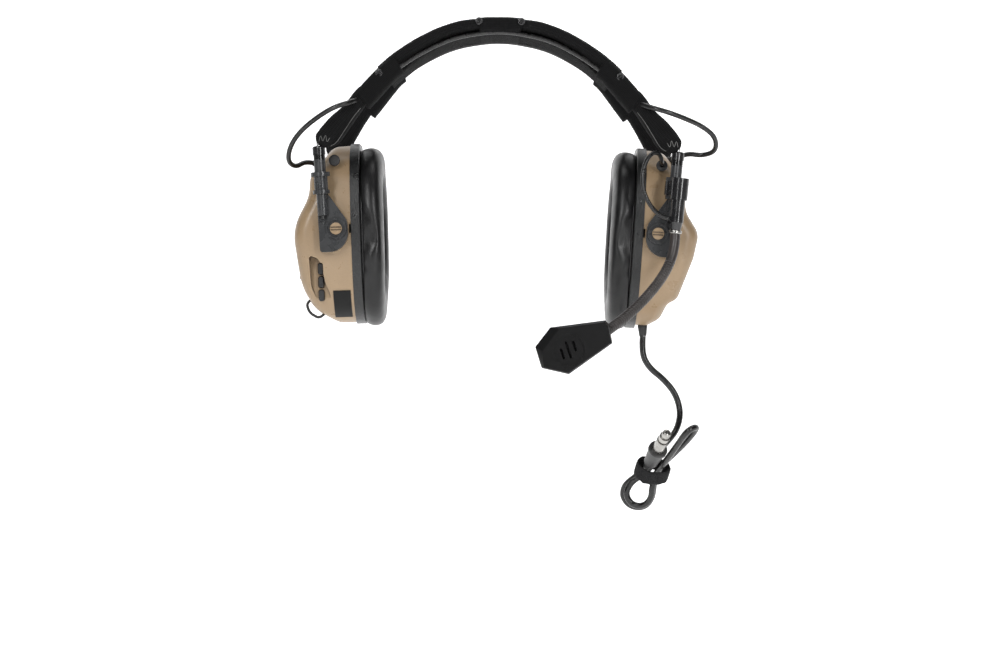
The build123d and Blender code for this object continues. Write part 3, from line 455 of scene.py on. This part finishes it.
def foam():
    n = Nodes("foam")
    holes = n.cells(1300.0)
    body = n.mix(n.span(holes, 0.1, 0.6), (0.004, 0.004, 0.004), (0.03, 0.03, 0.031))
    return n.surface(body, 0.95, n.bump(holes, 1.0, 0.0006), Specular_IOR_Level=0.15)


def strap_fabric():
    n = Nodes("strap_fabric")
    loops = n.cells(2100.0)
    fuzz = n.noise(1800.0, 4.0, 0.7)
    height = n.math("ADD", loops, fuzz)
    body = n.mix(n.span(fuzz, 0.35, 0.7), (0.006, 0.006, 0.0065), (0.03, 0.03, 0.031))
    lint = n.span(n.noise(900.0, 3.0, 0.8), 0.66, 0.74, 0.0, 0.35)
    body = n.mix(lint, body, (0.1, 0.1, 0.1))
    return n.surface(body, 0.9, n.bump(height, 0.9, 0.0004), Specular_IOR_Level=0.2)


def board():
    n = Nodes("board")
    tracks = n.cells(260.0, "DISTANCE_TO_EDGE")
    body = n.mix(n.span(tracks, 0.03, 0.06), (0.35, 0.22, 0.06), (0.01, 0.09, 0.03))
    return n.surface(body, 0.4, n.bump(tracks, 0.3, 0.0001))


def wrapped_cell():
    n = Nodes("wrapped_cell")
    body = n.mix(n.span(n.noise(90.0, 3.0), 0.35, 0.65), (0.03, 0.05, 0.2), (0.05, 0.08, 0.28))
    return n.surface(body, n.span(n.noise(400.0, 3.0), 0.3, 0.7, 0.25, 0.4),
                     n.bump(n.noise(700.0, 2.0), 0.3, 0.00005))


def arm_nylon():
    """Grey filled nylon, gloss black on the upper length of the tube."""
    made = plastic("grey_nylon", (0.034, 0.0355, 0.0375), (0.026, 0.027, 0.0285), 0.28, 1900.0, 0.00005,
                   lift=1.9)
    n = Nodes("grey_nylon", made)
    height = n.node("ShaderNodeSeparateXYZ", {"Vector": n.place}).outputs["Z"]
    upper = n.span(height, 0.0397, 0.0399)
    for key, value in (("Base Color", (0.004, 0.004, 0.0042)), ("Roughness", (0.16, 0.16, 0.16))):
        socket = n.shader.inputs[key]
        n.put(n.mix(upper, socket.links[0].from_socket, value), socket)
    return made


TAN = tan_plastic()
GREY = arm_nylon()
PLATE = plastic("dark_plate", (0.015, 0.0158, 0.016), (0.006, 0.0063, 0.0065), 0.32, 1500.0, 0.0003, lift=2.2, fleck=0.6)
MIC = plastic("mic_plastic", (0.004, 0.004, 0.0042), (0.0026, 0.0026, 0.0028), 0.5, 1700.0, 0.00009,
              wear=0.5, lift=6.0, specular=0.16)
PLUG = plastic("plug_plastic", (0.045, 0.045, 0.045), (0.03, 0.03, 0.03), 0.36, 2200.0, 0.00005, lift=1.9)
LABEL = plastic("label_face", (0.005, 0.005, 0.005), (0.004, 0.004, 0.004), 0.4, 2400.0, 0.00004,
                lift=3.0, specular=0.2)
SPEAKER = plastic("speaker_parts", (0.05, 0.05, 0.052), (0.03, 0.03, 0.03), 0.5, 1600.0, 0.0001)
GLOSS = gloss_plastic()
RUBBER = rubber("black_rubber", (0.005, 0.005, 0.0053), 0.5)
JACKET = rubber("cable_jacket", (0.004, 0.004, 0.004), 0.28, 1100.0)
LEAD = rubber("lead_jacket", (0.006, 0.006, 0.006), 0.24, 1100.0)
GOOSE = rubber("gooseneck_rubber", (0.022, 0.018, 0.017), 0.36, 1300.0)
NICKEL = metal("nickel", (0.44, 0.43, 0.41), 0.16)
SCREW = metal("screw_steel", (0.4, 0.4, 0.41), 0.35)
BRASS = metal("sprung_sheet", (0.8, 0.62, 0.3), 0.3)
WIRE = wire_metal()
KNIT = knit("rib_knit")
# A darker copy of the tight knit: the lining's black fabric made darker still as painted shade on the band's
# underside, where a wearer's head would shade it.
SHADED_LINING_KNIT = knit("shaded_lining_knit", 0.0008, (0.0014, 0.0014, 0.0015), (0.0045, 0.0045, 0.0047))
TIGHT_KNIT = knit("tight_knit", 0.0008, (0.003, 0.003, 0.0032), (0.012, 0.012, 0.0125))
LEATHER = leather()
FOAM = foam()
STRAP = strap_fabric()
THREAD = rubber("pale_thread", (0.1, 0.1, 0.097), 0.8, 2500.0, 0.2)

CAD_LOOKS = {
    TAN: ["left_shell", "right_shell", "battery_door", "left_pivot_pins", "right_pivot_pins"],
    GREY: [f"{side}_arm_{end}" for side in ("left", "right") for end in ("front", "rear")],
    PLATE: ["left_back_plate", "right_back_plate"],
    GLOSS: ["left_arm_caps", "right_arm_caps", "boom_clip"],
    MIC: ["mic_front_housing", "mic_rear_housing"],
    PLUG: ["plug_body", "plug_relief"],
    LABEL: ["label_plate"],
    FOAM: ["mic_capsule"],
    SPEAKER: ["left_speaker", "right_speaker"],
    RUBBER: [
        "jack_cover", "mode_button", "volume_up_button", "volume_down_button", "mic_grommet",
        "left_cable_gland", "right_cable_gland", "door_tether", "downlead_relief",
    ],
    JACKET: ["crossover_cable"],
    NICKEL: ["plug_shaft", "boom_ferrule"],
    SCREW: ["left_plate_screws", "right_plate_screws"],
    BRASS: ["battery_contacts"],
    WIRE: ["headband_wire_front", "headband_wire_rear"],
    board(): ["left_circuit_board", "right_circuit_board"],
    wrapped_cell(): ["batteries"],
}
for look, names in CAD_LOOKS.items():
    for name in names:
        nodes[name].data.materials.clear()
        nodes[name].data.materials.append(look)


# ---- cords -----------------------------------------------------------------------------------

LEFT_LOOP = mms([
    (82.0, -36.0, 76.5), (87.0, -46.0, 73.8), (98.0, -48.0, 70.8), (109.0, -43.5, 67.4),
    (119.5, -37.0, 63.6), (127.6, -31.0, 58.0), (128.6, -25.5, 50.2), (121.0, -19.5, 47.6),
    (111.4, -19.6, 49.1), (105.9, -16.5, 46.3),
])
RIGHT_LOOP = mms([
    (82.0, -36.0, 76.5), (87.0, -46.0, 73.6), (96.0, -48.0, 70.6), (106.5, -44.0, 64.4),
    (116.0, -39.0, 57.0), (122.4, -34.0, 48.4), (124.0, -29.0, 39.6), (119.6, -22.0, 36.8),
    (114.4, -18.6, 40.7), (109.5, -15.1, 39.9),
])
CABLE_R = 0.00145


def halves(line):
    """A line cut in two at the middle of its length."""
    reach, half = 0.0, length_of(line) / 2
    for i, (a, b) in enumerate(zip(line, line[1:])):
        reach += (b - a).length
        if reach >= half:
            return line[: i + 2], line[i + 1:]
    return line, line[-2:]


def loop_cable(side, route):
    """A crossover loop in two pieces: band to yoke, and yoke to cup."""
    line = spaced(nurbs_line(route), 0.0012)
    for part, ends, ride_on in zip(("band", "cup"), halves(line), (("headband", "yoke"), ("yoke", "cup"))):
        piece = tube(f"{side}_loop_{part}_end", ends, CABLE_R)
        replaced = [f"{side}_loop_cable"] if part == "band" else []
        finish_piece(piece, JACKET, replaces=replaced)
        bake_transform(piece)


loop_cable("left", LEFT_LOOP)
loop_cable("right", mirror_x(RIGHT_LOOP))

MIC_LEAD = mms([
    (99.37, -57.0, 8.2), (93.6, -57.0, 9.6), (86.6, -56.0, 18.0), (83.6, -55.0, 27.5),
    (84.0, -53.5, 38.0), (88.5, -51.0, 46.6), (94.0, -46.5, 47.0), (96.1, -41.5, 40.7),
    (96.0, -30.0, 40.3),
])
MIC_LEAD_R = 0.00125


def mic_lead():
    line = spaced(nurbs_line(MIC_LEAD), 0.001)
    for part, ends, bodies in zip(
        ("boom", "cup"), halves(line), (("boom", "left_yoke"), ("left_yoke", "left_cup"))
    ):
        piece = tube(f"mic_lead_{part}_end", ends, MIC_LEAD_R)
        finish_piece(piece, JACKET, replaces=["mic_lead"] if part == "boom" else [])
        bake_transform(piece)


mic_lead()

# The lead: down from the left cup, through the tie, round a fold below it, up into the narrow
# loop, down again, round a second fold and up into the plug. One spline from end to end.
LEAD_R = 0.00185
TIE_CENTRE = mm(93.4, -31.0, -138.6)
BUNDLE_AXIS = Vector((0.33, -0.73, 0.60)).normalized()
BUNDLE_SIDE = -BUNDLE_AXIS.cross(Vector((0, 0, 1))).normalized()
BUNDLE_UP = BUNDLE_AXIS.cross(BUNDLE_SIDE)
PLUG_AXIS = Vector((0.18, -0.86, 0.475)).normalized()
FOLD_FALL = Vector((-0.42, 0.42, -0.80)).normalized()
FOLD_NORMAL = FOLD_FALL.cross(Vector((-0.80, 0.10, 0.59))).normalized()
FOLD_ASIDE = FOLD_NORMAL.cross(FOLD_FALL)


def in_tie(along, rise, aside):
    return TIE_CENTRE + (BUNDLE_AXIS * along + BUNDLE_UP * rise + BUNDLE_SIDE * aside) * MM


FOLD_START = in_tie(-5.0, 1.5, 1.5)


def in_fold(fall, aside, layer):
    return FOLD_START + (FOLD_FALL * fall + FOLD_ASIDE * aside + FOLD_NORMAL * layer) * MM


lead_top = mms([
    (88.01, -8.0, -59.76), (87.4, -8.0, -70.0), (92.0, -9.0, -78.6), (100.4, -10.5, -85.0),
    (107.8, -12.0, -93.6), (111.0, -14.5, -104.6), (108.6, -19.5, -114.8), (102.8, -27.0, -121.4),
    (96.4, -32.0, -127.4),
])
lead_route = lead_top + [
    in_tie(0, 5.2, 0.2), in_tie(-6.0, 4.6, 0.0),
    in_fold(9, 7.0, 2.0), in_fold(17, 9.6, 2.0), in_fold(24, 7.5, 2.0), in_fold(27, 0.5, 2.0),
    in_fold(23, -7.0, 2.0), in_fold(15, -8.6, 2.0), in_fold(7, -5.5, 2.0),
    in_tie(-3.0, -1.0, 3.0), in_tie(4, -2.0, 2.4), in_tie(14, -3.8, 1.2), in_tie(28, -5.0, 0.2),
    in_tie(38, -5.2, 0.1), in_tie(45.6, -5.1, 0.1), in_tie(48.4, -4.0, 2.6),
    in_tie(48.4, -2.5, 6.2), in_tie(45.6, -1.5, 8.7), in_tie(34, -1.1, 8.7),
    in_tie(16, 0.6, 7.4), in_tie(4, 2.4, 6.6), in_tie(-3.0, 2.4, 6.0),
    in_fold(6, -5.0, -2.0), in_fold(13, -8.4, -2.0), in_fold(20, -6.8, -2.0),
    in_fold(23.5, -0.5, -2.0), in_fold(20, 6.0, -2.0), mm(80.9, -19.0, -147.8),
    mm(84.9, -19.4, -144.2), mm(88.6, -22.6, -142.0), in_tie(0, 1.6, -2.6) - PLUG_AXIS * 3.0 * MM,
]
lead = nurbs_curve("downlead", lead_route)
lead.data.bevel_depth = LEAD_R
lead.data.bevel_resolution = 6
lead.data.use_fill_caps = True
finish_piece(lead, LEAD, "left_cup", ["downlead_cable", "cord_hank"])
lead_length = length_of(nurbs_line(lead_route))
print("lead length", round(lead_length, 4))


# ---- strap round the hank --------------------------------------------------------------------


def tie():
    """Wide hook-and-loop strap: one turn with its free end lapped over it."""
    rings = []
    turns = 1.14
    count = 110
    axis = (BUNDLE_AXIS + Vector((-0.12, 0.28, 0.22))).normalized()
    side = (BUNDLE_SIDE - axis * axis.dot(BUNDLE_SIDE)).normalized()
    upward = axis.cross(side)
    for i in range(count):
        share = i / (count - 1)
        a = math.radians(215) + 2 * math.pi * turns * share
        lap = max(0.0, share * turns - 1.0) / (turns - 1.0)
        grow = 1.0 + 0.1 * min(1.0, lap * 4) - 0.012 * math.sin(3 * a)
        wide, high = 9.1 * grow, 7.9 * grow
        c, s = math.cos(a), math.sin(a)
        flat = 2 / 2.15
        centre = (side * math.copysign(abs(c) ** flat, c) * wide
                  + upward * math.copysign(abs(s) ** flat, s) * high) * MM
        outward = centre.normalized()
        edge = 4.1 + 0.18 * math.sin(7 * a) + 0.12 * math.sin(13 * a + 1.0)
        for_end = min(1.0, share * 30, (1 - share) * 30) ** 0.5
        ring = []
        for across, out in oval(2 * edge * for_end + 0.2, 1.35, 20, 4.0):
            ring.append(TIE_CENTRE + centre + (axis * across + outward * (out + 0.65)) * MM)
        rings.append(ring)
    return loft("cord_tie_strap", rings)


strap = tie()
finish_piece(strap, STRAP, "left_cup", ["cord_tie"])


# ---- headband --------------------------------------------------------------------------------


def bent_solid(name, stations, across, step=0.0008, rib=0.00014, power=2.8, count=44, taper=0.0):
    """A flat fabric piece along the band.

    A station is (outer point, inner point, middle in y, width in y), in millimetres: the two edges
    in the front view and the piece's place in depth. Fine ribs cross it.
    """
    rows = [
        [Vector((*row[0], 0)), Vector((*row[1], 0)), Vector((row[2], row[3], 0))] for row in stations
    ]
    middle = [(row[0] + row[1]) / 2 for row in rows]
    path = smooth_through(middle, 0.4)
    total = length_of(path)
    fine = []
    for column in range(3):
        fine.append(smooth_spread([row[column] for row in rows], middle, round(total / (step * 1000))))
    rings = []
    last = len(fine[0]) - 1
    for i, (outer, inner, depth) in enumerate(zip(*fine)):
        outward = (outer - inner).normalized()
        thick = (outer - inner).length
        near = min(i, last - i) * step * 1000
        end = min(1.0, math.sqrt(max(0.0, near + 0.15) / taper)) if taper else 1.0
        ribs = rib * 1000 * math.sin(i * math.pi)
        ring = []
        for a, b in oval(depth.y * (0.35 + 0.65 * end), thick * (0.45 + 0.55 * end), count, power):
            ripple = rib * 1000 * (1 if i % 2 else -1) * (0.6 + 0.4 * math.sin(a * 0.9))
            fuzz = noise.noise(Vector((i * 0.35, a * 0.5, b * 0.5))) * 0.22
            size = 1 + (ripple + fuzz + ribs) / max(thick, 4.0)
            centre = (outer + inner) / 2 + outward * b * size
            ring.append(Vector((centre.x, depth.x + a * size, centre.y)) * MM)
        rings.append(ring)
    return loft(name, rings)


def smooth_spread(values, middle, count):
    """Values given at the middle points, spread smoothly over count even steps of their path."""
    reach = [0.0]
    for a, b in zip(middle, middle[1:]):
        reach.append(reach[-1] + (b - a).length)
    made, k = [], 0
    for i in range(count + 1):
        at = reach[-1] * i / count
        while k < len(reach) - 2 and reach[k + 1] < at:
            k += 1
        t = (at - reach[k]) / (reach[k + 1] - reach[k])
        p0 = values[max(k - 1, 0)]
        p1, p2 = values[k], values[k + 1]
        p3 = values[min(k + 2, len(values) - 1)]
        made.append(0.5 * (
            p1 * 2 + (p2 - p0) * t + (p0 * 2 - p1 * 5 + p2 * 4 - p3) * t * t
            + (p1 * 3 - p0 - p2 * 3 + p3) * t * t * t
        ))
    return made


def both_ways(half):
    """Stations over the head from those of the wearer's left half, crown last."""
    other = [((-o[0], o[1]), (-i[0], i[1]), y, w) for o, i, y, w in half]
    return other[:-1] + [half[-1]] + list(reversed(half[:-1]))


# outer and inner edge of the upper pad in the front view, from the left side tab to the crown
PAD = [
    ((72.9, 98.0), (65.9, 91.0), 0, 57.0), ((65.5, 104.5), (59.5, 97.6), 0, 57.5),
    ((56.6, 111.0), (51.1, 104.0), 0, 58.0), ((46.6, 117.0), (42.0, 109.5), 0, 58.0),
    ((35.7, 122.2), (32.4, 114.3), 0, 58.0), ((23.8, 126.0), (21.9, 117.7), 0, 58.0),
    ((11.9, 127.4), (11.2, 119.3), 0, 58.0), ((0.0, 127.7), (0.0, 119.6), 0, 58.0),
]
LINING = [
    ((66.1, 90.7), (63.7, 88.0), 0, 44.0), ((58.6, 97.5), (56.7, 94.5), 0, 44.0),
    ((50.1, 104.0), (48.6, 101.1), 0, 44.0), ((41.2, 109.4), (40.1, 106.5), 0, 44.0),
    ((31.6, 114.2), (30.9, 111.5), 0, 44.0), ((21.3, 117.5), (20.9, 115.0), 0, 44.0),
    ((10.9, 119.1), (10.8, 116.9), 0, 44.0), ((0.0, 119.5), (0.0, 117.4), 0, 44.0),
]
CROWN_TAB = [
    ((13.4, 127.9), (12.4, 116.6), 0, 59.6), ((6.0, 128.3), (5.8, 116.8), 0, 60.0),
    ((0.0, 128.4), (0.0, 116.9), 0, 60.0),
]
pad = bent_solid("band_pad", [(o, i, y, w) for o, i, y, w in both_ways(PAD)], 0, taper=0.0)
finish_piece(pad, KNIT, "headband", ["headband_cover", "crossover_cable"])
lining = bent_solid("band_lining", both_ways(LINING), 0, rib=0.00002, power=3.2)
finish_piece(lining, SHADED_LINING_KNIT, "headband")
crown_tab = bent_solid("band_crown_tab", both_ways(CROWN_TAB), 0, rib=0.0001, power=3.4, taper=1.2)
finish_piece(crown_tab, TIGHT_KNIT, "headband")

# sleeve of the front wire on the left side: a tab round the pad's end, then a narrower tongue
TAB = [
    ((62.3, 104.3), (56.3, 93.4), -21.0, 17.0), ((68.1, 99.8), (60.3, 90.2), -22.5, 17.4),
    ((73.7, 94.1), (65.1, 84.6), -25.0, 17.6), ((79.3, 87.6), (70.4, 78.0), -28.0, 17.6),
    ((84.9, 80.4), (76.5, 70.6), -31.5, 17.4),
]
TONGUE = [
    ((79.6, 87.0), (73.0, 79.4), -28.4, 15.6), ((85.0, 81.3), (78.7, 72.7), -31.0, 15.6),
    ((91.0, 72.9), (84.2, 64.4), -34.0, 15.6), ((99.0, 65.0), (88.9, 56.6), -38.5, 15.4),
    ((105.2, 56.8), (92.9, 50.0), -42.5, 15.0), ((107.5, 52.0), (96.8, 47.2), -44.5, 13.4),
    ((106.6, 49.4), (98.8, 46.2), -45.6, 10.0),
]


def flipped(stations, to_right, to_rear):
    x, y = (-1 if to_right else 1), (-1 if to_rear else 1)
    made = [((x * o[0], o[1]), (x * i[0], i[1]), y * d, w) for o, i, d, w in stations]
    return list(reversed(made)) if to_right else made


def stud(name, x, z, y, to_rear, turn):
    """Small dark round button with a slit, sewn through the fabric."""
    front = 1 if to_rear else -1
    rings = []
    for radius, out in ((0.05, 0.5), (1.0, 0.55), (1.35, 0.5), (1.4, 0.9), (1.75, 1.05), (2.05, 0.85),
                        (2.2, 0.35), (2.2, -1.0), (0.05, -1.2)):
        rings.append([
            mm(x + radius * math.cos(a) * front * -1, y + out * front, z + radius * math.sin(a))
            for a in (2 * math.pi * k / 32 for k in range(32))
        ])
    button = finish_piece(loft(name, rings), GLOSS, "headband")
    c, s = math.cos(turn), math.sin(turn)
    bar = []
    for along, half in ((-1.35, 0.1), (-1.1, 0.32), (1.1, 0.32), (1.35, 0.1)):
        bar.append([
            mm(x + along * c - side * s * half, y + front * (0.62 + lift * 0.25), z + along * s + side * c * half)
            for side, lift in ((-1, 0), (-0.7, 1), (0.7, 1), (1, 0), (0, -1))
        ])
    slit = finish_piece(loft(name + "_bar", bar), RUBBER, "headband")
    return button, slit


def thread_line(name, points, radius=0.00016):
    line = smooth_through(mms(points), 0.0004)
    return finish_piece(tube(name, line, radius, sides=8), THREAD, "headband")


for side, to_right in (("left", False), ("right", True)):
    for end, to_rear in (("front", False), ("rear", True)):
        tag = f"{side}_{end}"
        tab = bent_solid(f"{tag}_tab", flipped(TAB, to_right, to_rear), 0, rib=0.0001, taper=1.4)
        finish_piece(tab, TIGHT_KNIT, "headband")
        tongue = bent_solid(f"{tag}_tongue", flipped(TONGUE, to_right, to_rear), 0, power=2.7, taper=5.0)
        finish_piece(tongue, KNIT, "headband", [f"{side}_sleeve_{end}"])
        x, y = (-1 if to_right else 1), (-1 if to_rear else 1)
        thread_line(f"{tag}_seam", [
            (x * 81.0, y * -38.4, 71.0), (x * 85.0, y * -41.3, 65.4), (x * 89.7, y * -45.7, 57.3),
            (x * 93.9, y * -49.5, 50.2), (x * 97.4, y * -50.2, 47.6),
        ])
        thread_line(f"{tag}_stitch", [
            (x * 104.2, y * -50.9, 50.2), (x * 103.2, y * -50.9, 53.4), (x * 101.9, y * -51.1, 50.4),
            (x * 100.4, y * -51.0, 53.8), (x * 99.5, y * -51.0, 50.2), (x * 97.9, y * -50.6, 52.4),
        ])
        stud(f"{tag}_stud", x * 70.8, 92.2, y * -32.7, to_rear, 0.75 * x)
for x in (-12.6, 12.4):
    for end, to_rear in (("front", False), ("rear", True)):
        side = "left" if x > 0 else "right"
        stud(f"crown_{side}_{end}_stud", x, 124.2, 30.1 if to_rear else -30.1, to_rear, 0.9)


# ---- ear cushions ----------------------------------------------------------------------------

CUP_TILT = math.radians(2.75)
PIVOT_X = 93.8


def in_cup(out, height, forward, to_right):
    """A point counted from a cup's pivot, in millimetres, in the row frame."""
    x = PIVOT_X + out * math.cos(CUP_TILT) + height * math.sin(CUP_TILT)
    z = height * math.cos(CUP_TILT) - out * math.sin(CUP_TILT)
    return mm(-x if to_right else x, -forward, z)


def egg(turn, width, top, bottom, power):
    c, s = math.cos(turn), math.sin(turn)
    back = math.copysign(abs(c) ** (2 / power), c) * width
    rise = math.copysign(abs(s) ** (2 / power), s) * (top if s > 0 else bottom)
    return back, rise


# section of the cushion: share of the way from its outer edge to the ear opening, and level out
CUSHION_SECTION = [
    (0.50, -14.0), (0.22, -14.0), (0.06, -14.1), (0.03, -15.0), (-0.01, -16.6), (-0.045, -19.0),
    (-0.05, -21.2), (-0.01, -23.6), (0.08, -25.4), (0.22, -26.5), (0.4, -26.9), (0.58, -26.7),
    (0.76, -25.9), (0.9, -24.4), (0.98, -22.2), (1.0, -19.4), (0.97, -16.6), (0.92, -14.3), (0.8, -14.0),
]


def cushion(side, to_right):
    """Crowned ring round the ear: a lofted skin, then blown up as cloth and held at its base."""
    count = 150
    rings = []
    for k in range(count):
        turn = 2 * math.pi * k / count
        outer = egg(turn, 38.6, 49.6, 53.2, 2.5)
        inner = egg(turn, 20.0, 31.0, 34.0, 2.6)
        lip = max(0.0, math.sin(turn)) ** 2
        pinch = 0.012 * math.sin(turn * 9 + 0.7) * max(0.0, -math.sin(turn))
        ring = []
        for share, out in CUSHION_SECTION:
            share += pinch if -25 < out < -16 else 0.0
            flare = lip * 1.6 * max(0.0, (-18.0 - out) / 9.0)
            back = outer[0] + (inner[0] - outer[0]) * share
            rise = outer[1] + (inner[1] - outer[1]) * share
            ring.append(in_cup(out - flare, rise - 1.9, -back, to_right))
        rings.append(ring)
    verts = [p for ring in rings for p in ring]
    size = len(CUSHION_SECTION)
    faces = []
    for k in range(count):
        for j in range(size):
            a, b = k * size + j, k * size + (j + 1) % size
            n = (k + 1) % count
            c, d = n * size + (j + 1) % size, n * size + j
            faces.append((a, d, c, b) if to_right else (a, b, c, d))
    piece = mesh_piece(f"{side}_ear_cushion", verts, faces)
    rest = [v.co.copy() for v in piece.data.vertices]
    held = piece.vertex_groups.new(name="held")
    held.add([
        i for i in range(len(verts)) if CUSHION_SECTION[i % size][1] > -14.6
    ], 1.0, "REPLACE")
    cloth = piece.modifiers.new("Cloth", "CLOTH")
    cloth.settings.use_pressure = True
    cloth.settings.uniform_pressure_force = 4.0
    cloth.settings.vertex_group_mass = "held"
    cloth.settings.shrink_min = -0.03
    cloth.settings.effector_weights.gravity = 0.0
    scene.frame_set(1)
    for step in range(2, 16):
        scene.frame_set(step)
    depsgraph = bpy.context.evaluated_depsgraph_get()
    blown = piece.evaluated_get(depsgraph).to_mesh()
    moved = [v.co.copy() for v in blown.vertices]
    piece.evaluated_get(depsgraph).to_mesh_clear()
    piece.modifiers.clear()
    for v, start, now in zip(piece.data.vertices, rest, moved):
        step = now - start
        v.co = start + step * min(1.0, 0.0012 / max(step.length, 1e-9))
    scene.frame_set(1)
    smooth = piece.modifiers.new("Subdivision", "SUBSURF")
    smooth.levels = smooth.render_levels = 1
    finish_piece(piece, LEATHER, f"{side}_cup", [f"{side}_cushion"])
    seam = []
    for k in range(181):
        turn = 2 * math.pi * k / 180
        outer, inner = egg(turn, 38.6, 49.6, 53.2, 2.5), egg(turn, 20.0, 31.0, 34.0, 2.6)
        back = outer[0] + (inner[0] - outer[0]) * 0.045
        rise = outer[1] + (inner[1] - outer[1]) * 0.045
        seam.append(in_cup(-14.6, rise - 1.9, -back, to_right))
    finish_piece(tube(f"{side}_cushion_welt", seam, 0.0007, sides=10), LEATHER, f"{side}_cup")


def ear_liner(side, to_right):
    """Foam disc over the speaker, dished and stitched down round its rim."""
    rings = []
    rows = [(1.0, -14.1), (1.0, -15.2), (0.96, -15.9), (0.8, -16.0), (0.55, -15.4), (0.3, -15.0), (0.02, -14.9)]
    for share, out in rows:
        ring = []
        for k in range(72):
            back, rise = egg(2 * math.pi * k / 72, 19.2, 30.0, 33.0, 2.6)
            dimple = 0.25 * math.sin(back * 0.9 * share) * math.sin(rise * 0.9 * share)
            ring.append(in_cup(out + dimple, rise * share - 1.9, -back * share, to_right))
        rings.append(ring)
    piece = loft(f"{side}_ear_liner", rings)
    finish_piece(piece, FOAM, f"{side}_cup", [f"{side}_liner"])


for side, to_right in (("left", False), ("right", True)):
    cushion(side, to_right)
    ear_liner(side, to_right)


# ---- gooseneck -------------------------------------------------------------------------------

GOOSENECK = mms([
    (103.02, -57.0, -0.35), (102.9, -57.6, -8.0), (99.2, -61.2, -19.6), (92.2, -67.4, -30.4),
    (82.6, -76.0, -41.2), (71.6, -86.0, -51.0), (62.5, -94.3, -57.4),
])
SMOOTH_UPPER = 0.0165      # bare length under the ferrule
RIB_PITCH = 0.00165


def gooseneck_radius(start):
    def radius(at):
        along = start + at
        if along < SMOOTH_UPPER:
            return 0.0029
        phase = ((along - SMOOTH_UPPER) % RIB_PITCH) / RIB_PITCH
        return 0.003 - 0.0006 * (0.5 + 0.5 * math.cos(2 * math.pi * phase)) ** 3
    return radius


goose_line = spaced(nurbs_line(GOOSENECK), 0.0002)
first, second = halves(goose_line)
upper_goose = tube("gooseneck_upper", first, gooseneck_radius(0.0), sides=28)
lower_goose = tube("gooseneck_lower", second, gooseneck_radius(length_of(first)), sides=28)
finish_piece(upper_goose, GOOSE, replaces=["gooseneck_base"])
finish_piece(lower_goose, GOOSE, replaces=["gooseneck_mid", "gooseneck_end"])
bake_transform(upper_goose)
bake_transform(lower_goose)


# ---- floor, backdrop and light ---------------------------------------------------------------

floor_rows = [(-6.0, -0.21), (0.9, -0.21)]
floor_rows += [
    (0.9 + 0.5 * math.sin(a), -0.21 + 0.5 * (1 - math.cos(a)))
    for a in (math.pi / 2 * k / 16 for k in range(1, 17))
]
floor_rows.append((1.4, 3.0))
floor_verts = [Vector((x, y, z)) for y, z in floor_rows for x in (-6.0, 6.0)]
floor_faces = [(2 * i, 2 * i + 1, 2 * i + 3, 2 * i + 2) for i in range(len(floor_rows) - 1)]
floor = mesh_piece("floor", floor_verts, floor_faces)
paper = Nodes("paper")
tone = paper.mix(paper.span(paper.noise(3.0, 2.0), 0.3, 0.7), (0.93, 0.93, 0.93), (0.96, 0.96, 0.96))
floor.data.materials.append(paper.surface(
    tone, 0.9, paper.bump(paper.noise(900.0), 0.1, 0.0002), Emission_Color=(1, 1, 1, 1),
    Emission_Strength=0.7,
))

world = bpy.data.worlds.new("studio")
world.use_nodes = True
world.node_tree.nodes["Background"].inputs["Color"].default_value = (1, 1, 1, 1)
seen = world.node_tree.nodes.new("ShaderNodeLightPath").outputs["Is Camera Ray"]
strength = world.node_tree.nodes.new("ShaderNodeMapRange")
strength.inputs["To Min"].default_value = 0.06
strength.inputs["To Max"].default_value = 1.0
world.node_tree.links.new(seen, strength.inputs["Value"])
world.node_tree.links.new(
    strength.outputs["Result"], world.node_tree.nodes["Background"].inputs["Strength"]
)
scene.world = world


def area_light(name, place, target, size, power):
    data = bpy.data.lights.new(name, "AREA")
    data.shape = "RECTANGLE"
    data.size, data.size_y = size
    data.energy = power
    lamp = link(bpy.data.objects.new(name, data))
    lamp.location = place
    lamp.rotation_euler = (Vector(target) - Vector(place)).to_track_quat("-Z", "Y").to_euler()


area_light("key", (-0.55, -1.25, 0.55), (0, 0, 0), (0.22, 0.7), 8.0)
area_light("fill", (0.65, -1.2, 0.35), (0, 0, 0), (0.16, 0.7), 7.0)
area_light("top", (0.0, -0.1, 1.1), (0, 0, 0), (1.0, 0.4), 4.5)
